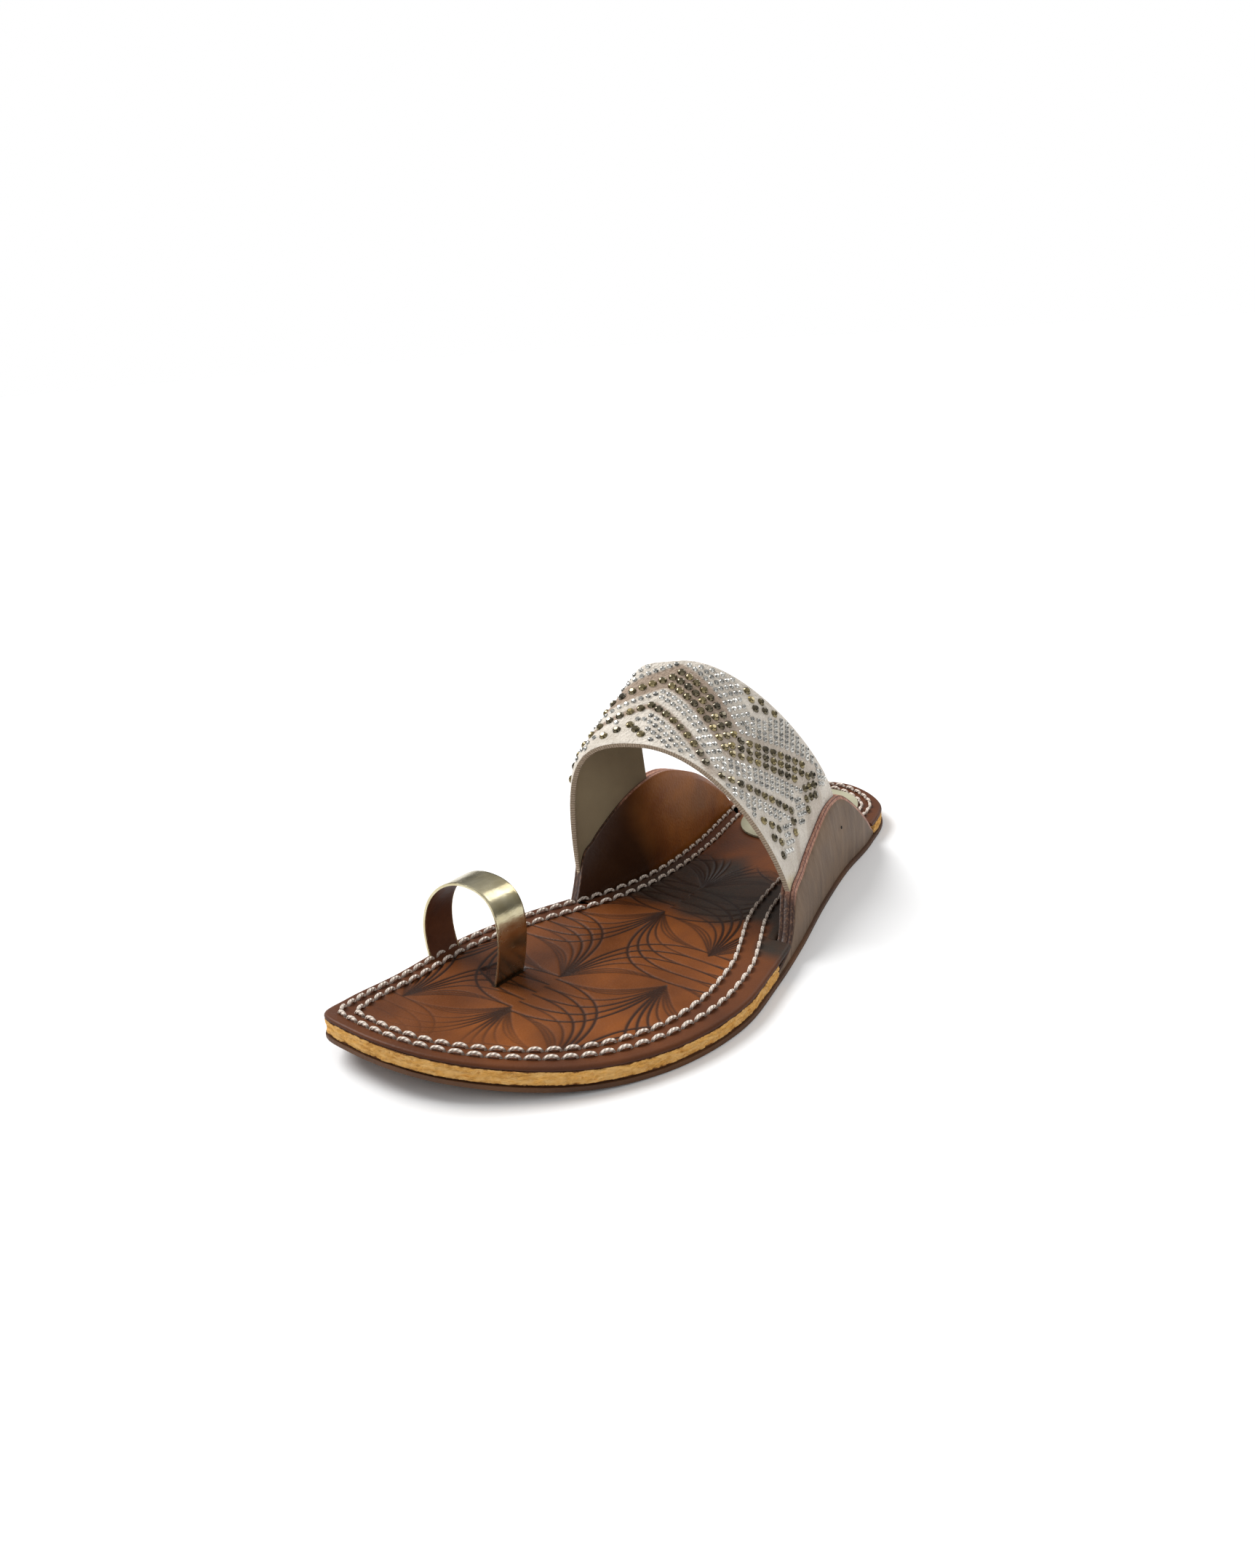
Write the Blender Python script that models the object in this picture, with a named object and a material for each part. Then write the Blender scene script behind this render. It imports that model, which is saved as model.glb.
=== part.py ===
"""Kolhapuri chappal, left shoe: a flat layered leather sole, two side ears, an instep band and a toe ring.

Metres, +Z up. The toe points to -Y and the heel to +Y. The little toe's side, called lateral, is +X.
The origin is on the floor, under the middle of the sole's length and width.
"""

import bmesh
import bpy
import numpy as np

# Sole: overall sizes and the leather of each layer
SOLE_LENGTH = 0.248
BALL_WIDTH = 0.1018
OUTSOLE_THICKNESS = 0.0014
MIDSOLE_THICKNESS = 0.0031
FOOTBED_THICKNESS = 0.0022
TOE_SPRING = 0.0078
TOE_SPRING_LENGTH = 0.062
SEAT_GAP = 0.0003
MIDSOLE_SETBACK = 0.0006
FOOTBED_SETBACK = 0.0004
FOOTBED_EDGE_ROUND = 0.0012
FOOTBED_EDGE_SHOULDER = 0.3

# Heel sock: an oval of thin lining on the heel of the footbed
SOCK_THICKNESS = 0.0007
SOCK_LENGTH = 0.0555
SOCK_WIDTH = 0.037
SOCK_FROM_HEEL = 0.0390
SOCK_OFF_HEEL_AXIS = 0.0025
SOCK_SQUARENESS = 2.3

# Ears: flaps of folded leather, two layers with the band's end between them
EAR_LAYER = 0.0011
BAND_THICKNESS = 0.0018
EAR_MARGIN = 0.0008
FLANGE_WIDTH = 0.0078
NOTCH_RAMP = 0.0035
SLOT_DEPTH = 0.0085
LATERAL_EAR_FROM_TOE = 0.1085
LATERAL_EAR_LENGTH = 0.1095
LATERAL_EAR_HEIGHT = 0.0292
MEDIAL_EAR_FROM_TOE = 0.1055
MEDIAL_EAR_LENGTH = 0.1000
MEDIAL_EAR_HEIGHT = 0.0414

# Band: where its ends enter the ears, measured from each ear's front, and the height of its two edges
BAND_LATERAL_START = 0.0240
BAND_LATERAL_WIDTH = 0.0551
BAND_MEDIAL_START = 0.0036
BAND_MEDIAL_WIDTH = 0.0328
BAND_FRONT_HEIGHT = 0.0639
BAND_REAR_HEIGHT = 0.0816

# Toe ring: a strip bent to a horseshoe, its feet in two slits of the footbed
RING_STRIP_WIDTH = 0.0119
RING_STRIP_THICKNESS = 0.0009
RING_FROM_TOE = 0.0550
RING_FRONT_HEIGHT = 0.0308
RING_REAR_HEIGHT = 0.0299
RING_FOOT_SPAN = 0.0286
RING_LATERAL_FOOT_X = -0.0180
RING_LEG_SPLAY = 0.325

# Fineness of the curves
OUTLINE_POINTS = 208
EAR_STATIONS = 27
EAR_LEVELS = 5
BAND_COLUMNS = 9
BAND_HALF_STEPS = 13
RING_HALF_STEPS = 11
TOE_CUTS = 9
FLATNESS = 1e-4
MERGE = 1e-6

# Outline of the sole seen from above, once round from the toe's tip by the lateral side.
# Columns: share of the length from toe to heel, share of the ball width from the middle (lateral is +).
OUTLINE_ROWS = (
    (0.000, -0.240),
    (0.014, -0.020),
    (0.065, 0.189),
    (0.142, 0.371),
    (0.232, 0.474),
    (0.322, 0.500),
    (0.420, 0.455),
    (0.519, 0.390),
    (0.637, 0.299),
    (0.750, 0.225),
    (0.860, 0.175),
    (0.951, 0.095),
    (1.000, -0.130),
    (0.957, -0.352),
    (0.868, -0.438),
    (0.770, -0.409),
    (0.664, -0.352),
    (0.566, -0.328),
    (0.460, -0.366),
    (0.357, -0.452),
    (0.259, -0.500),
    (0.153, -0.488),
    (0.062, -0.455),
    (0.009, -0.385),
)

# Ear profiles from front to rear.
# Columns: share of the ear's length, top edge as a share of its height over the floor, lean of the top (inward is +).
LATERAL_EAR_ROWS = (
    (0.00, 0.12, 0.00),
    (0.05, 0.15, 0.00),
    (0.10, 0.22, 0.10),
    (0.15, 0.40, 0.35),
    (0.20, 0.57, 0.45),
    (0.33, 0.70, 0.45),
    (0.48, 0.84, 0.40),
    (0.67, 1.00, 0.30),
    (0.75, 0.95, 0.30),
    (0.82, 0.77, 0.25),
    (0.87, 0.60, 0.20),
    (0.93, 0.38, 0.10),
    (1.00, 0.12, 0.00),
)
MEDIAL_EAR_ROWS = (
    (0.00, 0.09, 0.00),
    (0.025, 0.30, -0.10),
    (0.05, 0.50, -0.22),
    (0.10, 0.64, -0.22),
    (0.17, 0.78, -0.20),
    (0.26, 0.92, -0.15),
    (0.42, 1.00, -0.10),
    (0.56, 0.90, -0.05),
    (0.78, 0.59, 0.00),
    (0.91, 0.33, 0.00),
    (1.00, 0.09, 0.00),
)

# Arches of the band and of the toe ring: front edge, then rear edge.
# Columns: crown as a share of the way from lateral to medial end, then the four handles of its two curves:
# lateral rise, lateral run, medial rise, medial run, as shares of the arch's rise and of its half spans.
BAND_ARCHES = ((0.66, 0.43, 0.50, 0.81, 0.90), (0.78, 0.34, 0.39, 1.06, 1.20))
RING_ARCHES = ((0.31, 0.975, 0.875, 0.615, 0.605), (0.35, 0.96, 0.89, 0.615, 0.695))

LATERAL = 1
MEDIAL = -1


def smooth(keys, values, at):
    """Values on a smooth curve through rows of values, each at its key: cubic pieces with weighted mean slopes."""
    keys = np.asarray(keys, float)
    values = np.asarray(values, float).reshape(len(keys), -1)
    at = np.atleast_1d(np.asarray(at, float))
    steps = np.diff(keys)[:, None]
    chords = np.diff(values, axis=0) / steps
    slopes = np.vstack([chords[:1], chords[:1], chords[1:]])
    slopes[1:-1] = (chords[:-1] * steps[1:] + chords[1:] * steps[:-1]) / (steps[1:] + steps[:-1])
    i = np.clip(np.searchsorted(keys, at, side="right") - 1, 0, len(keys) - 2)
    h = steps[i]
    s = (at[:, None] - keys[i][:, None]) / h
    start = (1 + 2 * s) * (1 - s) ** 2 * values[i] + s * (1 - s) ** 2 * h * slopes[i]
    end = s * s * (3 - 2 * s) * values[i + 1] + s * s * (s - 1) * h * slopes[i + 1]
    return start + end


def bezier(a, b, c, d, count):
    """Points of a cubic curve with ends a and d and handles b and c."""
    t = np.linspace(0.0, 1.0, count)[:, None]
    return (1 - t) ** 3 * a + 3 * t * (1 - t) ** 2 * b + 3 * t * t * (1 - t) * c + t**3 * d


class Outline:
    """The sole's outline from above: points at equal steps once round, and their outward normals."""

    def __init__(self, count):
        rows = np.array(OUTLINE_ROWS)
        shares = np.column_stack([rows[:, 1] * BALL_WIDTH, (rows[:, 0] - 0.5) * SOLE_LENGTH])
        wrapped = np.vstack([shares[-3:], shares, shares[:4]])
        keys = np.concatenate([[0.0], np.cumsum(np.linalg.norm(np.diff(wrapped, axis=0), axis=1))])
        dense = smooth(keys, wrapped, np.linspace(keys[3], keys[-4], 4001))
        low, high = dense.min(0), dense.max(0)
        dense = (dense - (low + high) / 2) / (high - low) * (BALL_WIDTH, SOLE_LENGTH)
        along = np.concatenate([[0.0], np.cumsum(np.linalg.norm(np.diff(dense, axis=0), axis=1))])
        at = np.linspace(0.0, along[-1], count + 1)[:-1]
        self.step = along[-1] / count
        self.points = np.column_stack([np.interp(at, along, dense[:, k]) for k in (0, 1)])
        tangents = np.roll(self.points, -1, axis=0) - np.roll(self.points, 1, axis=0)
        tangents /= np.linalg.norm(tangents, axis=1)[:, None]
        self.normals = np.column_stack([tangents[:, 1], -tangents[:, 0]])

    def inset(self, distance):
        """The outline moved inward by a distance, or by one distance for each point."""
        return self.points - self.normals * np.reshape(distance, (-1, 1))

    def side(self, side, y):
        """The edge's point and outward normal on one side, at a station y."""
        keep = self.normals[:, 0] * side > 0.05
        order = np.argsort(self.points[keep, 1])
        ys = self.points[keep, 1][order]
        x, nx, ny = (np.interp(y, ys, v[keep][order]) for v in (self.points[:, 0], *self.normals.T))
        return np.array([x, y]), np.array([nx, ny]) / np.hypot(nx, ny)


EDGE = Outline(OUTLINE_POINTS)
FINE_EDGE = Outline(4 * OUTLINE_POINTS)
TOE_Y = -SOLE_LENGTH / 2
EAR_THICKNESS = 2 * EAR_LAYER + BAND_THICKNESS + 2 * SEAT_GAP
EAR_ROOM = EAR_MARGIN + EAR_THICKNESS + SEAT_GAP
MIDSOLE_BOTTOM = OUTSOLE_THICKNESS + SEAT_GAP
FOOTBED_BOTTOM = MIDSOLE_BOTTOM + MIDSOLE_THICKNESS + SEAT_GAP
FOOTBED_TOP = FOOTBED_BOTTOM + FOOTBED_THICKNESS


def toe_lift(y):
    """How far the sole is curled up off the floor at a station y."""
    reach = np.clip(1 - (y - TOE_Y) / TOE_SPRING_LENGTH, 0.0, None)
    return TOE_SPRING * reach**3


class Ear:
    """One side flap: its place along the sole's edge, its height and its lean."""

    def __init__(self, side, from_toe, length, height, rows):
        self.side = side
        self.front = TOE_Y + from_toe
        self.length = length
        self.height = height
        self.rows = np.array(rows)

    def profile(self, y):
        """Top edge's height over the floor and lean at a station y."""
        share = np.clip((y - self.front) / self.length, 0.0, 1.0)
        top, lean = smooth(self.rows[:, 0], self.rows[:, 1:], share)[0]
        return top * self.height, lean

    def point(self, y, depth, z):
        """A point at a depth behind the outer face's foot and a height z, with the ear's lean above the footbed."""
        edge, normal = FINE_EDGE.side(self.side, y)
        top, lean = self.profile(y)
        free = max(top - FOOTBED_TOP, SEAT_GAP)
        bend = np.clip((z - FOOTBED_TOP) / free, 0.0, None)
        inward = EAR_MARGIN + depth + lean * free * bend**2 / 2
        return np.array([*(edge - normal * inward), z])

    def section(self, y):
        """Closed section at a station y: outer face, top, inner face and the flange turned in under the midsole."""
        top = self.profile(y)[0]
        levels = MIDSOLE_BOTTOM + np.linspace(0.0, 1.0, EAR_LEVELS) * (top - MIDSOLE_BOTTOM)
        flange_top = MIDSOLE_BOTTOM + EAR_LAYER
        inner = np.linspace(top, flange_top, EAR_LEVELS)
        points = [self.point(y, 0.0, z) for z in levels]
        points += [self.point(y, EAR_THICKNESS, z) for z in inner]
        points += [self.point(y, EAR_THICKNESS + FLANGE_WIDTH, z) for z in (flange_top, MIDSOLE_BOTTOM)]
        return points

    def stations(self):
        """Stations from front to rear, closer together where the top edge rises and falls."""
        share = 0.5 - 0.5 * np.cos(np.linspace(0.0, np.pi, EAR_STATIONS))
        return self.front + share * self.length


EARS = {
    LATERAL: Ear(LATERAL, LATERAL_EAR_FROM_TOE, LATERAL_EAR_LENGTH, LATERAL_EAR_HEIGHT, LATERAL_EAR_ROWS),
    MEDIAL: Ear(MEDIAL, MEDIAL_EAR_FROM_TOE, MEDIAL_EAR_LENGTH, MEDIAL_EAR_HEIGHT, MEDIAL_EAR_ROWS),
}


def notch(room):
    """Extra inset at each outline point beside the ears, to leave a room of this depth for them."""
    depth = np.zeros(len(EDGE.points))
    for ear in EARS.values():
        y = EDGE.points[:, 1]
        clear = SEAT_GAP + EDGE.step + NOTCH_RAMP
        ahead = (y - (ear.front - clear)) / NOTCH_RAMP
        behind = (ear.front + ear.length + clear - y) / NOTCH_RAMP
        share = np.clip(np.minimum(ahead, behind), 0.0, 1.0)
        share *= EDGE.normals[:, 0] * ear.side > 0
        depth += share**2 * (3 - 2 * share) * room
    return depth


def material(name, colour, roughness, metallic=0.0):
    """A Principled material with a plain colour."""
    made = bpy.data.materials.new(name)
    made.use_nodes = True
    shader = made.node_tree.nodes["Principled BSDF"]
    shader.inputs["Base Color"].default_value = (*colour, 1.0)
    shader.inputs["Roughness"].default_value = roughness
    shader.inputs["Metallic"].default_value = metallic
    made.diffuse_color = (*colour, 1.0)
    return made


def add(name, bm, look=None):
    """Makes an object of a bmesh; one with no material is a cutter."""
    mesh = bpy.data.meshes.new(name)
    bm.to_mesh(mesh)
    bm.free()
    obj = bpy.data.objects.new(name, mesh)
    bpy.context.scene.collection.objects.link(obj)
    if look is None:
        obj.hide_render = True
        obj.display_type = "WIRE"
        return obj
    mesh.materials.append(look)
    mesh.shade_smooth()
    mesh.set_sharp_from_angle(angle=np.radians(35))
    return obj


def loft(loops, flats=False):
    """Closed bmesh through loops of as many points each, capped at both ends, in triangles or with its flats whole."""
    bm = bmesh.new()
    rings = [[bm.verts.new(p) for p in loop] for loop in loops]
    for low, high in zip(rings, rings[1:]):
        for i in range(len(low)):
            j = (i + 1) % len(low)
            bm.faces.new((low[i], low[j], high[j], high[i]))
    bm.faces.new(rings[0][::-1])
    bm.faces.new(rings[-1])
    bmesh.ops.recalc_face_normals(bm, faces=bm.faces)
    if flats:
        bmesh.ops.remove_doubles(bm, verts=bm.verts, dist=MERGE)
    else:
        bmesh.ops.triangulate(bm, faces=bm.faces)
    return bm


def slab(levels):
    """Closed bmesh through flat outlines given as (points, height), curled up at the toe."""
    bm = loft([np.column_stack([points, np.full(len(points), z)]) for points, z in levels], flats=True)
    for y in np.linspace(TOE_Y, TOE_Y + TOE_SPRING_LENGTH, TOE_CUTS + 1)[1:]:
        geometry = list(bm.verts) + list(bm.edges) + list(bm.faces)
        bmesh.ops.bisect_plane(bm, geom=geometry, dist=1e-7, plane_co=(0, y, 0), plane_no=(0, 1, 0))
    for vert in bm.verts:
        vert.co.z += toe_lift(vert.co.y)
    bmesh.ops.connect_verts_nonplanar(bm, angle_limit=FLATNESS, faces=bm.faces)
    return bm


def shell(grid, half):
    """Closed bmesh of even thickness about a grid of points, rows by columns."""
    across = np.gradient(grid, axis=0)
    along = np.gradient(grid, axis=1)
    normal = np.cross(across, along)
    normal /= np.linalg.norm(normal, axis=2)[:, :, None]
    skins = (grid + normal * half, grid - normal * half)
    bm = bmesh.new()
    rows, columns = grid.shape[:2]
    verts = [[[bm.verts.new(skin[i, j]) for j in range(columns)] for i in range(rows)] for skin in skins]
    for skin in verts:
        for i in range(rows - 1):
            for j in range(columns - 1):
                bm.faces.new((skin[i][j], skin[i][j + 1], skin[i + 1][j + 1], skin[i + 1][j]))
    rim = [(0, j) for j in range(columns)] + [(i, columns - 1) for i in range(1, rows)]
    rim += [(rows - 1, j) for j in range(columns - 2, -1, -1)] + [(i, 0) for i in range(rows - 2, 0, -1)]
    for (a, b), (c, d) in zip(rim, rim[1:] + rim[:1]):
        bm.faces.new((verts[0][a][b], verts[1][a][b], verts[1][c][d], verts[0][c][d]))
    bmesh.ops.recalc_face_normals(bm, faces=bm.faces)
    bmesh.ops.triangulate(bm, faces=bm.faces)
    return bm


def cut(obj, cutter):
    """Cuts a hidden solid out of an object."""
    modifier = obj.modifiers.new(cutter.name, "BOOLEAN")
    modifier.operation = "DIFFERENCE"
    modifier.solver = "EXACT"
    modifier.object = cutter


def arch(ends, exits, crown, handles, half_steps):
    """Points over an arch: a straight stretch from each end to its exit, and two curves that meet at the crown."""
    lateral_rise, lateral_run, medial_rise, medial_run = handles
    up = [(exit_ - end) / np.linalg.norm(exit_ - end) for end, exit_ in zip(ends, exits)]
    span = exits[0] - exits[1]
    level = np.array([span[0], span[1], 0.0]) / np.hypot(span[0], span[1])
    reach = [abs((exit_ - crown) @ level) for exit_ in exits]
    rise = [crown[2] - exit_[2] for exit_ in exits]
    near = bezier(
        exits[0],
        exits[0] + up[0] * lateral_rise * rise[0],
        crown + level * lateral_run * reach[0],
        crown,
        half_steps,
    )
    far = bezier(
        crown,
        crown - level * medial_run * reach[1],
        exits[1] + up[1] * medial_rise * rise[1],
        exits[1],
        half_steps,
    )
    middles = [(end + exit_) / 2 for end, exit_ in zip(ends, exits)]
    return np.vstack([ends[0], middles[0], near, far[1:], middles[1], ends[1]])


def band_grid(grow):
    """The band's middle surface from lateral to medial end, grown past its edges and ends by a clearance."""
    columns = []
    for v in np.linspace(-grow / BAND_LATERAL_WIDTH, 1 + grow / BAND_LATERAL_WIDTH, BAND_COLUMNS):
        ends, exits = [], []
        for side, start, width in (
            (LATERAL, BAND_LATERAL_START, BAND_LATERAL_WIDTH),
            (MEDIAL, BAND_MEDIAL_START, BAND_MEDIAL_WIDTH),
        ):
            ear = EARS[side]
            y = ear.front + start + v * width
            top = ear.profile(y)[0]
            bottom = max(top - SLOT_DEPTH, FOOTBED_TOP) - grow
            ends.append(ear.point(y, EAR_THICKNESS / 2, bottom))
            exits.append(ear.point(y, EAR_THICKNESS / 2, top))
        crown_share, *handles = np.array(BAND_ARCHES[0]) * (1 - v) + np.array(BAND_ARCHES[1]) * v
        crown = exits[0] * (1 - crown_share) + exits[1] * crown_share
        crown[2] = BAND_FRONT_HEIGHT * (1 - v) + BAND_REAR_HEIGHT * v
        columns.append(arch(ends, exits, crown, handles, BAND_HALF_STEPS))
    return np.array(columns).transpose(1, 0, 2)


def ring_grid(grow):
    """The toe ring's middle surface from lateral to medial foot, grown past its edges and feet."""
    middle = TOE_Y + RING_FROM_TOE
    low = FOOTBED_BOTTOM + toe_lift(middle) - grow
    top = FOOTBED_TOP + toe_lift(middle)
    splay = RING_LEG_SPLAY * (top - low)
    columns = []
    for v in (-grow / RING_STRIP_WIDTH, 1 + grow / RING_STRIP_WIDTH):
        y = middle + (v - 0.5) * RING_STRIP_WIDTH
        lateral_x = RING_LATERAL_FOOT_X
        medial_x = lateral_x - RING_FOOT_SPAN
        ends = [np.array([lateral_x - splay, y, low]), np.array([medial_x + splay, y, low])]
        exits = [np.array([lateral_x, y, top]), np.array([medial_x, y, top])]
        crown_share, *handles = np.array(RING_ARCHES[0]) * (1 - v) + np.array(RING_ARCHES[1]) * v
        crown = exits[0] * (1 - crown_share) + exits[1] * crown_share
        crown[2] += RING_FRONT_HEIGHT * (1 - v) + RING_REAR_HEIGHT * v
        columns.append(arch(ends, exits, crown, handles, RING_HALF_STEPS))
    return np.array(columns).transpose(1, 0, 2)


def build_outsole():
    """The sole leather that touches the floor."""
    look = material("outsole_leather", (0.085, 0.040, 0.020), 0.7)
    return add("outsole", slab([(EDGE.points, 0.0), (EDGE.points, OUTSOLE_THICKNESS)]), look)


def build_midsole():
    """The raw-edged middle leather, stepped in underneath for each ear's flange."""
    look = material("midsole_leather", (0.55, 0.30, 0.09), 0.85)
    edge = EDGE.inset(np.maximum(MIDSOLE_SETBACK, notch(EAR_ROOM)))
    pocket = EDGE.inset(np.maximum(MIDSOLE_SETBACK, notch(EAR_ROOM + FLANGE_WIDTH)))
    pocket_top = MIDSOLE_BOTTOM + EAR_LAYER + SEAT_GAP
    levels = [(pocket, MIDSOLE_BOTTOM), (pocket, pocket_top)]
    levels += [(edge, pocket_top), (edge, MIDSOLE_BOTTOM + MIDSOLE_THICKNESS)]
    return add("midsole", slab(levels), look)


def build_footbed():
    """The leather the foot stands on: its top edge rounded, with a slit for each foot of the toe ring."""
    look = material("footbed_leather", (0.20, 0.065, 0.022), 0.4)
    inset = np.maximum(FOOTBED_SETBACK, notch(EAR_ROOM))
    shoulder = FOOTBED_EDGE_SHOULDER * FOOTBED_EDGE_ROUND
    levels = [
        (EDGE.inset(inset), FOOTBED_BOTTOM),
        (EDGE.inset(inset), FOOTBED_TOP - FOOTBED_EDGE_ROUND),
        (EDGE.inset(inset + shoulder), FOOTBED_TOP - shoulder),
        (EDGE.inset(inset + FOOTBED_EDGE_ROUND), FOOTBED_TOP),
    ]
    footbed = add("footbed", slab(levels), look)
    cut(footbed, add("slit_cutter", shell(ring_grid(SEAT_GAP), RING_STRIP_THICKNESS / 2 + SEAT_GAP)))
    return footbed


def build_heel_sock():
    """The pale lining patch on the heel."""
    look = material("sock_lining", (0.36, 0.34, 0.25), 0.8)
    heel = np.array([FINE_EDGE.points[np.argmax(FINE_EDGE.points[:, 1]), 0], SOLE_LENGTH / 2])
    centre = heel + (SOCK_OFF_HEEL_AXIS, -SOCK_FROM_HEEL)
    turn = np.linspace(0.0, 2 * np.pi, 49)[:-1]
    wave = np.column_stack([np.cos(turn), np.sin(turn)])
    loop = centre + np.sign(wave) * np.abs(wave) ** (2 / SOCK_SQUARENESS) * (SOCK_WIDTH / 2, SOCK_LENGTH / 2)
    low = FOOTBED_TOP + SEAT_GAP
    levels = [np.column_stack([loop, np.full(len(loop), z)]) for z in (low, low + SOCK_THICKNESS)]
    return add("heel_sock", loft(levels), look)


def build_ear(side, name, band_cutter):
    """A side ear, its flange under the midsole and a slot in its top for the band's end."""
    look = bpy.data.materials.get("ear_leather") or material("ear_leather", (0.13, 0.075, 0.045), 0.6)
    ear = add(name, loft([EARS[side].section(y) for y in EARS[side].stations()]), look)
    cut(ear, band_cutter)
    return ear


def build_band():
    """The instep band, from ear to ear."""
    look = material("band_suede", (0.52, 0.46, 0.37), 0.95)
    return add("instep_band", shell(band_grid(0.0), BAND_THICKNESS / 2), look)


def build_toe_ring():
    """The gold foil loop of the big toe."""
    look = material("ring_foil", (0.60, 0.52, 0.30), 0.25, 1.0)
    return add("toe_ring", shell(ring_grid(0.0), RING_STRIP_THICKNESS / 2), look)


def main():
    """Builds every piece of the shoe."""
    for obj in list(bpy.data.objects):
        bpy.data.objects.remove(obj)
    build_outsole()
    build_midsole()
    build_footbed()
    build_heel_sock()
    band_cutter = add("band_cutter", shell(band_grid(SEAT_GAP), BAND_THICKNESS / 2 + SEAT_GAP))
    build_ear(LATERAL, "ear_lateral", band_cutter)
    build_ear(MEDIAL, "ear_medial", band_cutter)
    build_band()
    build_toe_ring()


main()
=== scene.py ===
"""Looks of a kolhapuri chappal, left shoe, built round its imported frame.

Metres, +Z up. The toe points to -Y, the heel to +Y, and the little toe's side, called lateral, is +X.
Each piece lies where the solid that it dresses lies, so the form classes repeat that solid's sizes.
"""

import logging
import math
from dataclasses import dataclass
from enum import Enum
from typing import Callable, Iterable, Sequence

import bpy
import numpy as np
from mathutils import Matrix, Vector


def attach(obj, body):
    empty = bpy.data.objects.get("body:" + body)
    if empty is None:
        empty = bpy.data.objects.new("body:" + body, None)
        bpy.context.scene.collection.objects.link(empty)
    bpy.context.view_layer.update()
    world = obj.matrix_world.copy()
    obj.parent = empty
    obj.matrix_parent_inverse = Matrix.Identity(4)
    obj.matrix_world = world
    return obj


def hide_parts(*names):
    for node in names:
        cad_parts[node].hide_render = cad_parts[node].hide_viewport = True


log = logging.getLogger("chappal")
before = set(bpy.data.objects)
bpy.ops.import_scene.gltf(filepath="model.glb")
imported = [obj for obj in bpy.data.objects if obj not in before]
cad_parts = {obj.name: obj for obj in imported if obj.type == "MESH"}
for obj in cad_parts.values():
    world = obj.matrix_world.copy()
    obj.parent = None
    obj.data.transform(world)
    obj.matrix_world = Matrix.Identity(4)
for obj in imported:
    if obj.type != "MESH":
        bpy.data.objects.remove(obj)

Colour = tuple[float, float, float]
Socket = bpy.types.NodeSocket
Outputs = dict[str, Socket]

MM = 0.001
ROOT = "root"
SEED = 11
OUTLINE_COUNT = 1240
SMOOTH_ANGLE = math.radians(38)
MERGE = 1e-6
COAT_ROUGH = 0.25
BUMP_DISTANCE = 0.0006
EAR_ROOM = 0.0057


class Side(Enum):
    """The two sides of the shoe, as the sign of X."""

    LATERAL = 1
    MEDIAL = -1


class Stone(Enum):
    """The two kinds of stone on the band: diameter and pitch in metres."""

    GOLD = (0.0034, 0.00370)
    CLEAR = (0.0022, 0.00260)


# ---------------------------------------------------------------- forms


def smooth(keys: Sequence[float], values: np.ndarray, at: np.ndarray) -> np.ndarray:
    """Values on a smooth curve through rows of values.

    Args:
        keys: rising positions of the rows.
        values: one row of values for each key.
        at: where the curve is read.

    Returns:
        One row of values for each position in at.
    """
    keys = np.asarray(keys, float)
    values = np.asarray(values, float).reshape(len(keys), -1)
    at = np.atleast_1d(np.asarray(at, float))
    steps = np.diff(keys)[:, None]
    chords = np.diff(values, axis=0) / steps
    slopes = np.vstack([chords[:1], chords[:1], chords[1:]])
    slopes[1:-1] = (chords[:-1] * steps[1:] + chords[1:] * steps[:-1]) / (steps[1:] + steps[:-1])
    i = np.clip(np.searchsorted(keys, at, side="right") - 1, 0, len(keys) - 2)
    h = steps[i]
    s = (at[:, None] - keys[i][:, None]) / h
    start = (1 + 2 * s) * (1 - s) ** 2 * values[i] + s * (1 - s) ** 2 * h * slopes[i]
    end = s * s * (3 - 2 * s) * values[i + 1] + s * s * (s - 1) * h * slopes[i + 1]
    return start + end


def bezier(a: np.ndarray, b: np.ndarray, c: np.ndarray, d: np.ndarray, count: int) -> np.ndarray:
    """Points of a cubic curve with ends a and d and handles b and c."""
    t = np.linspace(0.0, 1.0, count)[:, None]
    return (1 - t) ** 3 * a + 3 * t * (1 - t) ** 2 * b + 3 * t * t * (1 - t) * c + t**3 * d


def along(points: np.ndarray) -> np.ndarray:
    """Distance along a line of points, from its first point to each one."""
    return np.concatenate([[0.0], np.cumsum(np.linalg.norm(np.diff(points, axis=0), axis=1))])


def ramp(value: np.ndarray, low: float, high: float) -> np.ndarray:
    """A smooth step from 0 at low to 1 at high."""
    share = np.clip((value - low) / (high - low), 0.0, 1.0)
    return share * share * (3 - 2 * share)


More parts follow.
